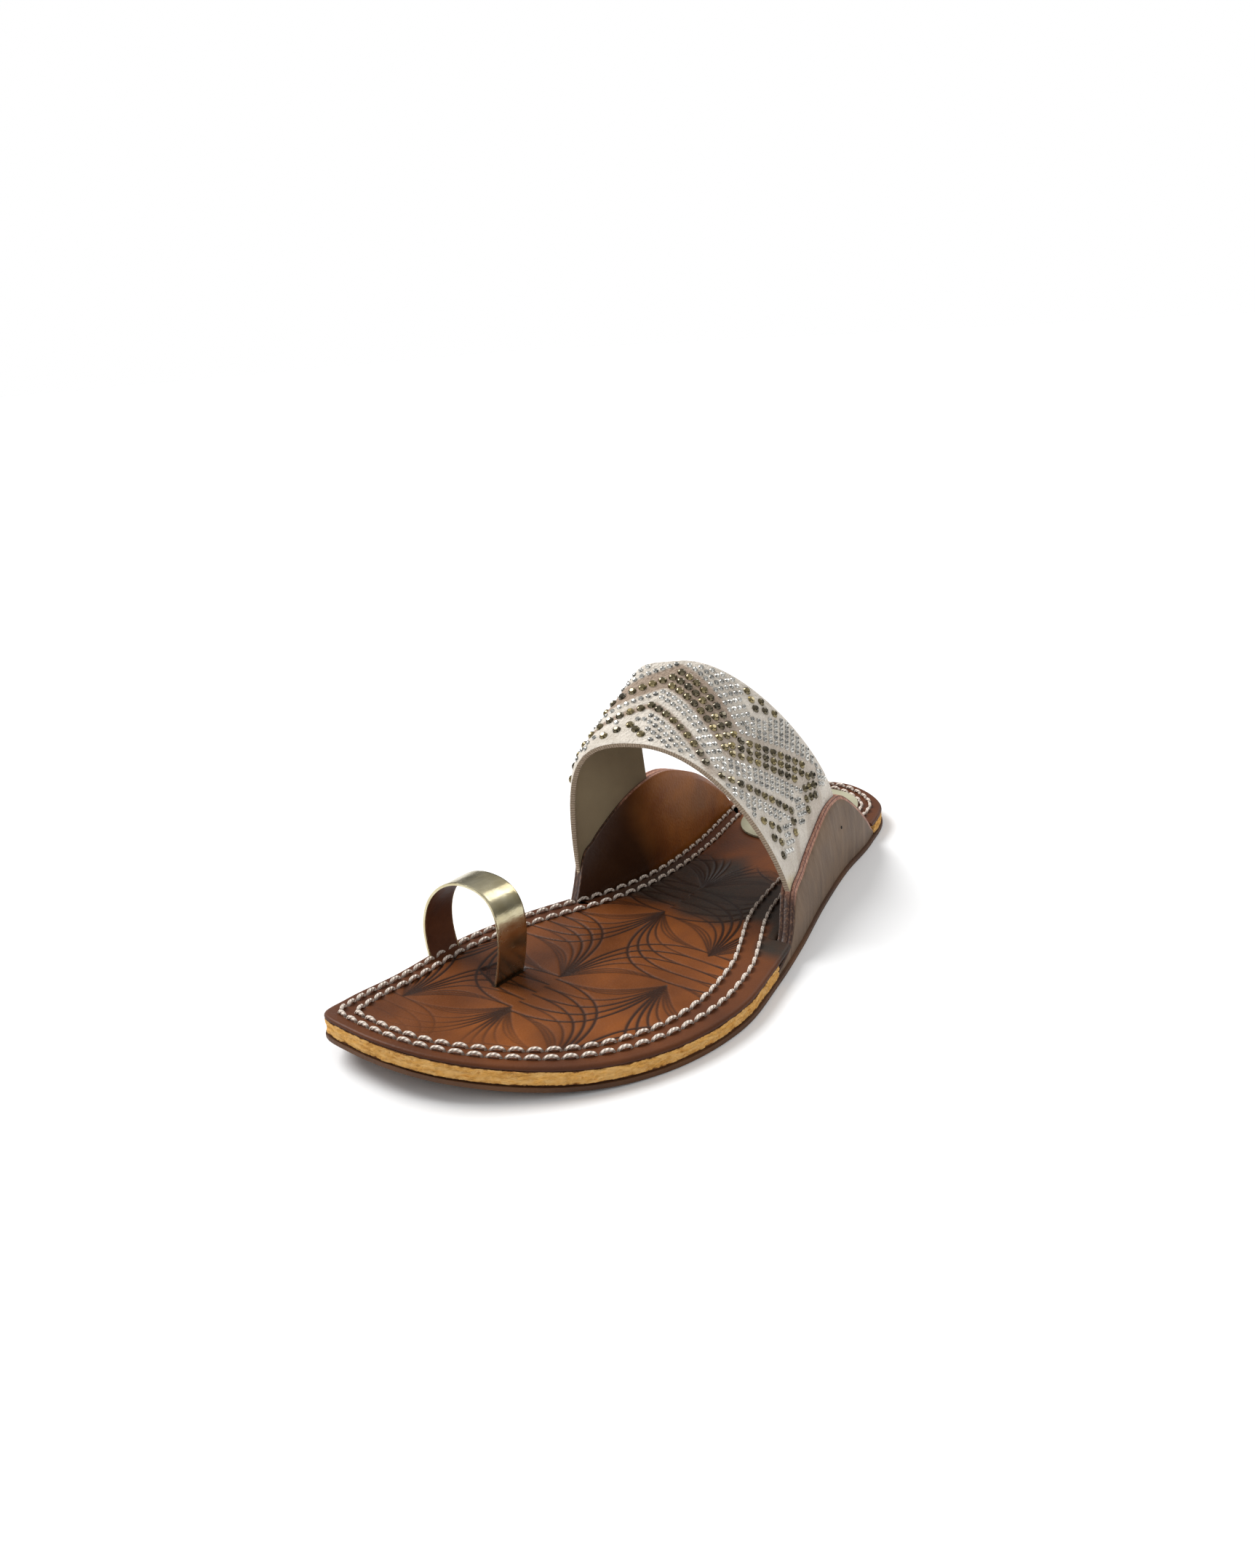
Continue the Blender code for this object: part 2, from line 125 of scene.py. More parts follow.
@dataclass(frozen=True)
class SoleForm:
    """Sizes and outline of the layered sole.

    outline_rows has, once round from the toe's tip by the lateral side, the share of the length from
    toe to heel and the share of the ball width from the middle.
    """

    length: float = 0.248
    ball_width: float = 0.1018
    outsole: float = 0.0014
    midsole: float = 0.0040
    footbed: float = 0.0013
    gap: float = 0.0003
    spring: float = 0.0078
    spring_length: float = 0.062
    toe_swell: float = 0.0008
    midsole_setback: float = 0.0006
    footbed_setback: float = 0.0004
    outline_rows: tuple = (
        (0.000, -0.240),
        (0.014, -0.020),
        (0.065, 0.189),
        (0.142, 0.371),
        (0.232, 0.474),
        (0.322, 0.500),
        (0.420, 0.455),
        (0.519, 0.390),
        (0.637, 0.299),
        (0.750, 0.225),
        (0.860, 0.175),
        (0.951, 0.095),
        (1.000, -0.130),
        (0.957, -0.352),
        (0.868, -0.438),
        (0.770, -0.409),
        (0.664, -0.352),
        (0.566, -0.328),
        (0.460, -0.366),
        (0.357, -0.452),
        (0.259, -0.500),
        (0.153, -0.488),
        (0.062, -0.455),
        (0.009, -0.385),
    )

    @property
    def toe_y(self) -> float:
        """Station of the toe's tip."""
        return -self.length / 2

    @property
    def midsole_bottom(self) -> float:
        """Height of the midsole's underside."""
        return self.outsole + self.gap

    @property
    def footbed_bottom(self) -> float:
        """Height of the footbed's underside."""
        return self.midsole_bottom + self.midsole + self.gap

    @property
    def footbed_top(self) -> float:
        """Height of the surface that the foot stands on."""
        return self.footbed_bottom + self.footbed

    def reach(self, y: np.ndarray) -> np.ndarray:
        """How far towards the toe's tip stations y are, from 0 at the start of the curl to 1."""
        return np.clip(1 - (np.asarray(y) - self.toe_y) / self.spring_length, 0.0, None)

    def lift(self, y: np.ndarray) -> np.ndarray:
        """How far the sole is curled up off the floor at stations y."""
        return self.spring * self.reach(y) ** 3

    def top_lift(self, y: np.ndarray) -> np.ndarray:
        """The same for the footbed, which a thicker midsole raises a little more at the toe."""
        return self.lift(y) + self.toe_swell * self.reach(y) ** 2


SOLE = SoleForm()


class Outline:
    """The sole's outline from above: points at equal steps once round, and their outward normals."""

    def __init__(self, count: int) -> None:
        """Builds the outline.

        Args:
            count: number of points once round.
        """
        rows = np.array(SOLE.outline_rows)
        shares = np.column_stack([rows[:, 1] * SOLE.ball_width, (rows[:, 0] - 0.5) * SOLE.length])
        wrapped = np.vstack([shares[-3:], shares, shares[:4]])
        keys = along(wrapped)
        dense = smooth(keys, wrapped, np.linspace(keys[3], keys[-4], 4001))
        low, high = dense.min(0), dense.max(0)
        dense = (dense - (low + high) / 2) / (high - low) * (SOLE.ball_width, SOLE.length)
        distance = along(dense)
        at = np.linspace(0.0, distance[-1], count + 1)[:-1]
        self.points = np.column_stack([np.interp(at, distance, dense[:, k]) for k in (0, 1)])
        tangents = np.roll(self.points, -1, axis=0) - np.roll(self.points, 1, axis=0)
        tangents /= np.linalg.norm(tangents, axis=1)[:, None]
        self.normals = np.column_stack([tangents[:, 1], -tangents[:, 0]])

    def inset(self, distance: float | np.ndarray) -> np.ndarray:
        """The outline moved inward by a distance, or by one distance for each point."""
        return self.points - self.normals * np.reshape(distance, (-1, 1))

    def side(self, side: Side, y: float) -> tuple[np.ndarray, np.ndarray]:
        """The edge's point and outward normal on one side, at a station y.

        Args:
            side: which side.
            y: the station.

        Returns:
            The point and the normal, both in the sole's plane.
        """
        keep = self.normals[:, 0] * side.value > 0.05
        order = np.argsort(self.points[keep, 1])
        ys = self.points[keep, 1][order]
        x, nx, ny = (np.interp(y, ys, v[keep][order]) for v in (self.points[:, 0], *self.normals.T))
        return np.array([x, y]), np.array([nx, ny]) / np.hypot(nx, ny)


EDGE = Outline(OUTLINE_COUNT)


@dataclass(frozen=True)
class EarForm:
    """One side ear: folded leather of two layers with the band's end between them.

    rows has, from front to rear, the share of the ear's length, the top edge's height as a share of
    height, and the lean of the top inward.
    """

    side: Side
    from_toe: float
    length: float
    height: float
    rows: tuple
    layer: float = 0.0011
    thickness: float = 0.0046
    margin: float = 0.0008

    @property
    def front(self) -> float:
        """Station of the ear's front end."""
        return SOLE.toe_y + self.from_toe

    def profile(self, y: float) -> tuple[float, float]:
        """Top edge's height over the floor, and lean, at a station y.

        Args:
            y: the station.

        Returns:
            The height in metres and the lean as a slope.
        """
        table = np.array(self.rows)
        share = np.clip((y - self.front) / self.length, 0.0, 1.0)
        top, lean = smooth(table[:, 0], table[:, 1:], share)[0]
        return top * self.height, lean

    def points(self, y: float, spots: Iterable[tuple[float, float]]) -> list[np.ndarray]:
        """Points of a section at a station y.

        Args:
            y: the station.
            spots: pairs of depth behind the outer face's foot, and height over the floor.

        Returns:
            One point in the frame's metres for each spot.
        """
        edge, normal = EDGE.side(self.side, y)
        top, lean = self.profile(y)
        free = max(top - SOLE.footbed_top, SOLE.gap)
        found = []
        for depth, z in spots:
            bend = max((z - SOLE.footbed_top) / free, 0.0)
            inward = self.margin + depth + lean * free * bend**2 / 2
            found.append(np.array([*(edge - normal * inward), z]))
        return found


LATERAL_EAR = EarForm(
    Side.LATERAL,
    0.1085,
    0.1095,
    0.0292,
    (
        (0.00, 0.12, 0.00),
        (0.05, 0.15, 0.00),
        (0.10, 0.22, 0.10),
        (0.15, 0.40, 0.35),
        (0.20, 0.57, 0.45),
        (0.33, 0.70, 0.45),
        (0.48, 0.84, 0.40),
        (0.67, 1.00, 0.30),
        (0.75, 0.95, 0.30),
        (0.82, 0.77, 0.25),
        (0.87, 0.60, 0.20),
        (0.93, 0.38, 0.10),
        (1.00, 0.12, 0.00),
    ),
)
MEDIAL_EAR = EarForm(
    Side.MEDIAL,
    0.1055,
    0.1000,
    0.0414,
    (
        (0.00, 0.09, 0.00),
        (0.025, 0.30, -0.10),
        (0.05, 0.50, -0.22),
        (0.10, 0.64, -0.22),
        (0.17, 0.78, -0.20),
        (0.26, 0.92, -0.15),
        (0.42, 1.00, -0.10),
        (0.56, 0.90, -0.05),
        (0.78, 0.59, 0.00),
        (0.91, 0.33, 0.00),
        (1.00, 0.09, 0.00),
    ),
)


def notch(outline: Outline, room: float, level: float) -> np.ndarray:
    """Extra inset beside the ears, where they stand higher than a layer.

    Args:
        outline: the outline whose points are read.
        room: depth of the notch.
        level: height of the layer's underside.

    Returns:
        The inset at each outline point.
    """
    depth = np.zeros(len(outline.points))
    for ear in (LATERAL_EAR, MEDIAL_EAR):
        y = outline.points[:, 1]
        beside = (y > ear.front - SOLE.gap) & (y < ear.front + ear.length + SOLE.gap)
        beside &= outline.normals[:, 0] * ear.side.value > 0
        for i in np.flatnonzero(beside):
            if ear.profile(y[i])[0] > level + SOLE.gap:
                depth[i] = room
    return np.maximum(depth, (np.roll(depth, 1) + np.roll(depth, -1)) / 2)


def surface_normals(points: np.ndarray) -> np.ndarray:
    """Unit normals of a surface, turned so that its middle faces up.

    Args:
        points: rows by columns by three.

    Returns:
        A normal for each point.
    """
    normal = np.cross(np.gradient(points, axis=0), np.gradient(points, axis=1))
    normal /= np.linalg.norm(normal, axis=2)[:, :, None]
    return -normal if normal[len(points) // 2, points.shape[1] // 2, 2] < 0 else normal


def arch(ends: list, exits: list, crown: np.ndarray, handles: Sequence[float], half_steps: int) -> np.ndarray:
    """Points over an arch: a straight stretch from each end to its exit, and two curves to the crown.

    Args:
        ends: the lateral and the medial end.
        exits: where the arch comes out, over each end.
        crown: the highest point.
        handles: how far the curves' handles reach, rise and run on the lateral side, then on the medial one.
        half_steps: points of each curve.

    Returns:
        The points from the lateral exit to the medial one.
    """
    lateral_rise, lateral_run, medial_rise, medial_run = handles
    up = [(exit_ - end) / np.linalg.norm(exit_ - end) for end, exit_ in zip(ends, exits)]
    span = exits[0] - exits[1]
    level = np.array([span[0], span[1], 0.0]) / np.hypot(span[0], span[1])
    reach = [abs((exit_ - crown) @ level) for exit_ in exits]
    rise = [crown[2] - exit_[2] for exit_ in exits]
    near = bezier(
        exits[0],
        exits[0] + up[0] * lateral_rise * rise[0],
        crown + level * lateral_run * reach[0],
        crown,
        half_steps,
    )
    far = bezier(
        crown,
        crown - level * medial_run * reach[1],
        exits[1] + up[1] * medial_rise * rise[1],
        exits[1],
        half_steps,
    )
    return np.vstack([near, far[1:]])


@dataclass(frozen=True)
class BandForm:
    """The instep band: where its ends enter the ears, and its two arches, front edge and rear edge.

    arches has the crown's share of the way from lateral to medial end and the handles of its curves.
    """

    thickness: float = 0.0018
    starts: tuple = (0.0240, 0.0036)
    widths: tuple = (0.0551, 0.0328)
    front_height: float = 0.0639
    rear_height: float = 0.0816
    slot: float = 0.0085
    arches: tuple = ((0.66, 0.43, 0.50, 0.81, 0.90), (0.78, 0.34, 0.39, 1.06, 1.20))

    def column(self, v: float, steps: int) -> tuple[np.ndarray, np.ndarray, np.ndarray]:
        """One line of the middle surface from ear to ear.

        Args:
            v: share of the way from the front edge to the rear edge.
            steps: points along the free part.

        Returns:
            The hidden lateral end, the free points, at equal distances, and the hidden medial end.
        """
        ends, exits = [], []
        for ear, start, width in zip((LATERAL_EAR, MEDIAL_EAR), self.starts, self.widths):
            y = ear.front + start + v * width
            top = ear.profile(y)[0]
            bottom = max(top - self.slot, SOLE.footbed_top)
            low, high = ear.points(y, ((ear.thickness / 2, bottom), (ear.thickness / 2, top)))
            ends.append(low)
            exits.append(high)
        crown_share, *handles = np.array(self.arches[0]) * (1 - v) + np.array(self.arches[1]) * v
        crown = exits[0] * (1 - crown_share) + exits[1] * crown_share
        crown[2] = self.front_height * (1 - v) + self.rear_height * v
        line = arch(ends, exits, crown, handles, 90)
        at = along(line)
        even = np.linspace(0.0, at[-1], steps)
        free = np.column_stack([np.interp(even, at, line[:, k]) for k in range(3)])
        return ends[0], free, ends[1]


@dataclass(frozen=True)
class RingForm:
    """The toe ring: a strip bent to a horseshoe. arches is as for the band."""

    width: float = 0.0119
    thickness: float = 0.0009
    from_toe: float = 0.0550
    front_height: float = 0.0308
    rear_height: float = 0.0299
    foot_span: float = 0.0286
    lateral_x: float = -0.0180
    splay: float = 0.325
    arches: tuple = ((0.31, 0.975, 0.875, 0.615, 0.605), (0.35, 0.96, 0.89, 0.615, 0.695))

    @property
    def middle(self) -> float:
        """Station of the strip's middle."""
        return SOLE.toe_y + self.from_toe

    def line(self, v: float, steps: int) -> np.ndarray:
        """A line of the middle surface from lateral to medial foot, at a share v from front to rear edge.

        Args:
            v: share of the width.
            steps: number of points.

        Returns:
            Points at equal distances.
        """
        low = SOLE.footbed_bottom + float(SOLE.lift(self.middle))
        top = SOLE.footbed_top + float(SOLE.lift(self.middle))
        splay = self.splay * (top - low)
        y = self.middle + (v - 0.5) * self.width
        medial_x = self.lateral_x - self.foot_span
        ends = [np.array([self.lateral_x - splay, y, low]), np.array([medial_x + splay, y, low])]
        exits = [np.array([self.lateral_x, y, top]), np.array([medial_x, y, top])]
        crown_share, *handles = np.array(self.arches[0]) * (1 - v) + np.array(self.arches[1]) * v
        crown = exits[0] * (1 - crown_share) + exits[1] * crown_share
        crown[2] += self.front_height * (1 - v) + self.rear_height * v
        line = np.vstack([ends[0], arch(ends, exits, crown, handles, 90), ends[1]])
        at = along(line)
        even = np.linspace(0.0, at[-1], steps)
        return np.column_stack([np.interp(even, at, line[:, k]) for k in range(3)])


BAND = BandForm()
RING = RingForm()


# ---------------------------------------------------------------- modelling by hand


def deselect() -> None:
    """Leaves edit mode and selects nothing."""
    if bpy.context.object is not None and bpy.context.object.mode != "OBJECT":
        bpy.ops.object.mode_set(mode="OBJECT")
    bpy.ops.object.select_all(action="DESELECT")


def activate(obj: bpy.types.Object) -> None:
    """Makes one object the only selected and active one.

    Args:
        obj: the object.
    """
    deselect()
    obj.select_set(True)
    bpy.context.view_layer.objects.active = obj


def apply_modifier(obj: bpy.types.Object, kind: str, **settings: object) -> None:
    """Adds a modifier with these settings and applies it.

    Args:
        obj: the piece.
        kind: the modifier's type.
        settings: its properties.
    """
    activate(obj)
    modifier = obj.modifiers.new(kind.title(), kind)
    for name, value in settings.items():
        setattr(modifier, name, value)
    bpy.ops.object.modifier_apply(modifier=modifier.name)


def edit(obj: bpy.types.Object, *steps: Callable[[], object], select: str = "SELECT") -> None:
    """Runs mesh operators in edit mode on the whole mesh.

    Args:
        obj: the piece.
        steps: the operators, in order.
        select: SELECT, or DESELECT where the steps select for themselves.
    """
    activate(obj)
    bpy.ops.object.mode_set(mode="EDIT")
    bpy.ops.mesh.select_mode(type="VERT")
    bpy.ops.mesh.select_all(action=select)
    for step in steps:
        step()
    bpy.ops.object.mode_set(mode="OBJECT")


def shade(obj: bpy.types.Object, angle: float = SMOOTH_ANGLE) -> None:
    """Shades smooth, with edges sharper than an angle kept sharp."""
    activate(obj)
    bpy.ops.object.shade_smooth_by_angle(angle=angle)


def dress(obj: bpy.types.Object, *looks: bpy.types.Material) -> None:
    """Gives an object its materials.

    Args:
        obj: the piece.
        looks: its materials, in the order of its slots.
    """
    obj.data.materials.clear()
    for look in looks:
        obj.data.materials.append(look)


def grid_piece(name: str, points: np.ndarray) -> bpy.types.Object:
    """A grid primitive laid on rows of points.

    Args:
        name: the piece's name.
        points: rows by columns by three, in metres. The UV map runs 0 to 1 along columns and rows.

    Returns:
        The new object, with its place in its mesh.
    """
    rows, columns = points.shape[:2]
    deselect()
    bpy.ops.mesh.primitive_grid_add(x_subdivisions=columns - 1, y_subdivisions=rows - 1, size=2.0)
    obj = bpy.context.object
    obj.name = name
    obj.data.name = name
    obj.data.vertices.foreach_set("co", np.ascontiguousarray(points, dtype=np.float32).reshape(-1))
    obj.data.update()
    return obj


def lofted(name: str, loops: Sequence[np.ndarray], ends: bool = True) -> bpy.types.Object:
    """A closed skin through loops of points: a grid rolled up, its seam merged and its two ends filled.

    Args:
        name: the piece's name.
        loops: its sections, each with the same number of points.
        ends: whether the two ends are filled.

    Returns:
        The new object.
    """
    wrapped = np.array([np.vstack([loop, loop[:1]]) for loop in loops])
    obj = grid_piece(name, wrapped)
    edit(obj, lambda: bpy.ops.mesh.remove_doubles(threshold=MERGE))
    if ends:
        edit(
            obj,
            lambda: bpy.ops.mesh.select_non_manifold(),
            lambda: bpy.ops.mesh.fill_holes(sides=0),
            select="DESELECT",
        )
    edit(obj, lambda: bpy.ops.mesh.normals_make_consistent(inside=False))
    return obj


def curl(obj: bpy.types.Object, cuts: int = 12) -> None:
    """Cuts a flat layer across at the toe, curls it up with the sole, and makes its flats triangles.

    Args:
        obj: the layer.
        cuts: number of cuts along the curl.
    """
    for y in np.linspace(SOLE.toe_y, SOLE.toe_y + SOLE.spring_length, cuts + 1)[1:]:
        edit(obj, lambda: bpy.ops.mesh.bisect(plane_co=(0, y, 0), plane_no=(0, 1, 0), threshold=MERGE))
    co = np.empty(len(obj.data.vertices) * 3, np.float32)
    obj.data.vertices.foreach_get("co", co)
    co = co.reshape(-1, 3)
    share = np.clip((co[:, 2] - SOLE.midsole_bottom) / SOLE.midsole, 0.0, 1.0)
    co[:, 2] += SOLE.lift(co[:, 1]) * (1 - share) + SOLE.top_lift(co[:, 1]) * share
    obj.data.vertices.foreach_set("co", co.reshape(-1))
    edit(obj, lambda: bpy.ops.mesh.quads_convert_to_tris(ngon_method="BEAUTY"))


def scatter(name: str, template: bpy.types.Object, places: Sequence[Matrix]) -> bpy.types.Object:
    """One piece made of copies of a modelled template, which is removed.

    Args:
        name: the new piece's name.
        template: the piece that was modelled once.
        places: where each copy goes.

    Returns:
        The new piece, with an attribute called copy that is random for each copy.
    """
    random = np.random.default_rng(SEED)
    copies = []
    for place in places:
        copy = template.copy()
        copy.data = template.data.copy()
        copy.data.transform(place)
        mark(copy, "copy", np.full(len(copy.data.vertices), random.random()))
        bpy.context.scene.collection.objects.link(copy)
        copies.append(copy)
    bpy.data.objects.remove(template)
    activate(copies[0])
    for copy in copies:
        copy.select_set(True)
    bpy.ops.object.join()
    copies[0].name = name
    copies[0].data.name = name
    return copies[0]


def place_on(point: np.ndarray, forward: np.ndarray, normal: np.ndarray) -> Matrix:
    """A place with X along forward and Z along a surface's normal.

    Args:
        point: where.
        forward: the way X points, as far as the normal allows.
        normal: the surface's normal.

    Returns:
        The place.
    """
    z = Vector(normal).normalized()
    x = Vector(forward)
    x = (x - z * x.dot(z)).normalized()
    y = z.cross(x)
    turn = Matrix((x, y, z)).transposed().to_4x4()
    return Matrix.Translation(Vector(point)) @ turn


def mark(obj: bpy.types.Object, name: str, values: np.ndarray) -> None:
    """Writes a number for each vertex as an attribute that a material reads."""
    attribute = obj.data.attributes.new(name, "FLOAT", "POINT")
    attribute.data.foreach_set("value", np.asarray(values, np.float32).reshape(-1))


def finish_piece(obj: bpy.types.Object, slot: str, *nodes: str) -> None:
    """Lets a piece ride with the shoe, hides the nodes that it stands for, and reports its triangles.

    Args:
        obj: the piece.
        slot: the finish's slot; not used.
        nodes: the nodes that it stands for.
    """
    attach(obj, ROOT)
    if nodes:
        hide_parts(*nodes)
    triangles = sum(len(p.vertices) - 2 for p in obj.data.polygons)
    log.info("%s: %d triangles", obj.name, triangles)


# ---------------------------------------------------------------- finishes


class Graph:
    """A node tree with short calls for its nodes and links."""

    def __init__(self, tree: bpy.types.NodeTree) -> None:
        """Wraps a node tree."""
        self.tree = tree

    def node(self, kind: str, inputs: dict | None = None, **settings: object) -> bpy.types.Node:
        """Adds a node.

        Args:
            kind: the node's type without ShaderNode.
            inputs: values or output sockets for its input sockets, by name or index.
            settings: the node's own properties.

        Returns:
            The new node.
        """
        made = self.tree.nodes.new("ShaderNode" + kind)
        for name, value in settings.items():
            setattr(made, name, value)
        for key, value in (inputs or {}).items():
            if isinstance(value, bpy.types.NodeSocket):
                self.tree.links.new(value, made.inputs[key])
            else:
                made.inputs[key].default_value = value
        return made

    def math(self, operation: str, a: object, b: object = 0.0, clamp: bool = False) -> bpy.types.NodeSocket:
        """A math node's result."""
        return self.node("Math", {0: a, 1: b}, operation=operation, use_clamp=clamp).outputs[0]

    def mix(self, share: object, a: object, b: object, blend: str = "MIX") -> bpy.types.NodeSocket:
        """A colour between a and b.

        Args:
            share: 0 for a, 1 for b.
            a: a colour or an output socket.
            b: the same.
            blend: the way of mixing.

        Returns:
            The mixed colour.
        """
        made = self.node("Mix", {0: share}, data_type="RGBA", blend_type=blend)
        for key, value in ((6, a), (7, b)):
            if isinstance(value, bpy.types.NodeSocket):
                self.tree.links.new(value, made.inputs[key])
            else:
                made.inputs[key].default_value = (*value, 1.0)
        return made.outputs[2]

    def spread(self, value: object, low: float, high: float, to: tuple = (0.0, 1.0)) -> bpy.types.NodeSocket:
        """A value brought from the range low to high into another range."""
        inputs = {0: value, 1: low, 2: high, 3: to[0], 4: to[1]}
        return self.node("MapRange", inputs).outputs[0]

    def place(self, scale: tuple = (1.0, 1.0, 1.0)) -> bpy.types.NodeSocket:
        """Object coordinates, stretched."""
        where = self.node("TexCoord").outputs["Object"]
        return self.node("Mapping", {"Vector": where, "Scale": scale}).outputs[0]

    def noise(self, where: object, scale: float, detail: float = 4.0, rough: float = 0.55) -> bpy.types.NodeSocket:
        """A noise's value."""
        inputs = {"Vector": where, "Scale": scale, "Detail": detail, "Roughness": rough}
        return self.node("TexNoise", inputs).outputs[0]

    def attribute(self, name: str) -> bpy.types.NodeSocket:
        """A vertex attribute's value."""
        return self.node("Attribute", attribute_name=name).outputs["Fac"]


def effect(name: str, inputs: dict, outputs: Sequence[str], build: Callable[[Graph, object], dict]) -> object:
    """A shader node group, built once.

    Args:
        name: the group's name.
        inputs: its number inputs with their usual values.
        outputs: names of its number outputs.
        build: given the graph and the input node, returns a socket for each output.

    Returns:
        The group's node tree.
    """
    known = bpy.data.node_groups.get(name)
    if known is not None:
        return known
    tree = bpy.data.node_groups.new(name, "ShaderNodeTree")
    for key, value in inputs.items():
        tree.interface.new_socket(key, in_out="INPUT", socket_type="NodeSocketFloat").default_value = value
    for key in outputs:
        tree.interface.new_socket(key, in_out="OUTPUT", socket_type="NodeSocketFloat")
    start = tree.nodes.new("NodeGroupInput")
    end = tree.nodes.new("NodeGroupOutput")
    found = build(Graph(tree), start)
    for key, socket in found.items():
        tree.links.new(socket, end.inputs[key])
    return tree


def grain(graph: Graph, start: object) -> dict:
    """Leather grain: pores, fine creases and slow mottling.

    Args:
        graph: the group's tree.
        start: its input node.

    Returns:
        The outputs Height and Mottle.
    """
    where = graph.place()
    pores = graph.node("TexVoronoi", {"Vector": where, "Scale": start.outputs["Scale"]}, feature="F1").outputs[0]
    fine = graph.node(
        "TexNoise", {"Vector": where, "Scale": graph.math("MULTIPLY", start.outputs["Scale"], 1.7), "Detail": 5.0}
    ).outputs[0]
    mottle = graph.node("TexNoise", {"Vector": where, "Scale": start.outputs["Mottle"], "Detail": 5.0}).outputs[0]
    height = graph.math("ADD", graph.math("MULTIPLY", pores, 0.6), graph.math("MULTIPLY", fine, 0.6))
    return {"Height": height, "Mottle": graph.spread(mottle, 0.3, 0.7)}


def fibres(graph: Graph, start: object) -> dict:
    """Raw cut leather: loose fibres lying along the layers.

    Args:
        graph: the group's tree.
        start: its input node.

    Returns:
        The outputs Height and Tone.
    """
    long = graph.place((1.0, 1.0, 3.0))
    coarse = graph.node("TexNoise", {"Vector": long, "Scale": start.outputs["Scale"], "Detail": 6.0}).outputs[0]
    crumbs = graph.node(
        "TexVoronoi", {"Vector": long, "Scale": graph.math("MULTIPLY", start.outputs["Scale"], 1.4)}
    ).outputs[0]
    height = graph.math("ADD", coarse, graph.math("MULTIPLY", crumbs, 0.5))
    return {"Height": height, "Tone": graph.spread(coarse, 0.32, 0.68)}


def new_material(name: str) -> tuple[bpy.types.Material, Graph, bpy.types.Node]:
    """Makes an empty material.

    Args:
        name: the material's name.

    Returns:
        The material, its graph and its Principled shader.
    """
    made = bpy.data.materials.new(name)
    made.use_nodes = True
    return made, Graph(made.node_tree), made.node_tree.nodes["Principled BSDF"]


@dataclass(frozen=True)
class Leather:
    """A leather finish: two tones that mottle into each other, and its shine and grain.

    rough is its range of roughness, scale and mottle set how fine its grain and its mottling are, and
    fibre takes loose cut fibres in place of grain.
    """

    name: str
    light: Colour
    dark: Colour
    rough: tuple[float, float] = (0.40, 0.60)
    scale: float = 900.0
    mottle: float = 60.0
    bump: float = 0.12
    coat: float = 0.0
    fibre: bool = False
    gloss: float = 0.30

    def start(self) -> tuple[bpy.types.Material, Graph, bpy.types.Node, Outputs]:
        """Begins the material, with its plain numbers set on the shader.

        Returns:
            The material, its graph, its shader, and its effect's outputs Height and Tone.
        """
        made, graph, shader = new_material(self.name)
        shader.inputs["Coat Weight"].default_value = self.coat
        shader.inputs["Coat Roughness"].default_value = COAT_ROUGH
        shader.inputs["Specular IOR Level"].default_value = self.gloss
        if self.fibre:
            tree = effect("raw_edge_fibres", {"Scale": 500.0}, ("Height", "Tone"), fibres)
        else:
            tree = effect("leather_grain", {"Scale": 900.0, "Mottle": 60.0}, ("Height", "Mottle"), grain)
        group = graph.node("Group", node_tree=tree)
        group.inputs["Scale"].default_value = self.scale
        if not self.fibre:
            group.inputs["Mottle"].default_value = self.mottle
        return made, graph, shader, {"Height": group.outputs["Height"], "Tone": group.outputs[1]}

    def paint(self, graph: Graph, out: Outputs) -> tuple[Socket, Socket, Socket]:
        """Mixes what varies over the surface. A finish with more to it has its own way.

        Args:
            graph: the material's graph.
            out: the effect's outputs Height and Tone.

        Returns:
            The colour, the relief, and the tone that sets the roughness.
        """
        return graph.mix(out["Tone"], self.dark, self.light), out["Height"], out["Tone"]

    def close(self, graph: Graph, shader: bpy.types.Node, colour: Socket, height: Socket, tone: Socket) -> None:
        """Links what was mixed to the shader.

        Args:
            graph: the material's graph.
            shader: its shader.
            colour: the finished colour.
            height: the relief.
            tone: from 0 to 1 over the range of roughness.
        """
        link = graph.tree.links.new
        link(colour, shader.inputs["Base Color"])
        link(graph.spread(tone, 0.0, 1.0, self.rough), shader.inputs["Roughness"])
        bump = graph.node("Bump", {"Height": height, "Strength": self.bump, "Distance": BUMP_DISTANCE})
        link(bump.outputs[0], shader.inputs["Normal"])

    def build(self) -> bpy.types.Material:
        """Makes the material.

        Returns:
            This leather's material.
        """
        made, graph, shader, out = self.start()
        self.close(graph, shader, *self.paint(graph, out))
        return made


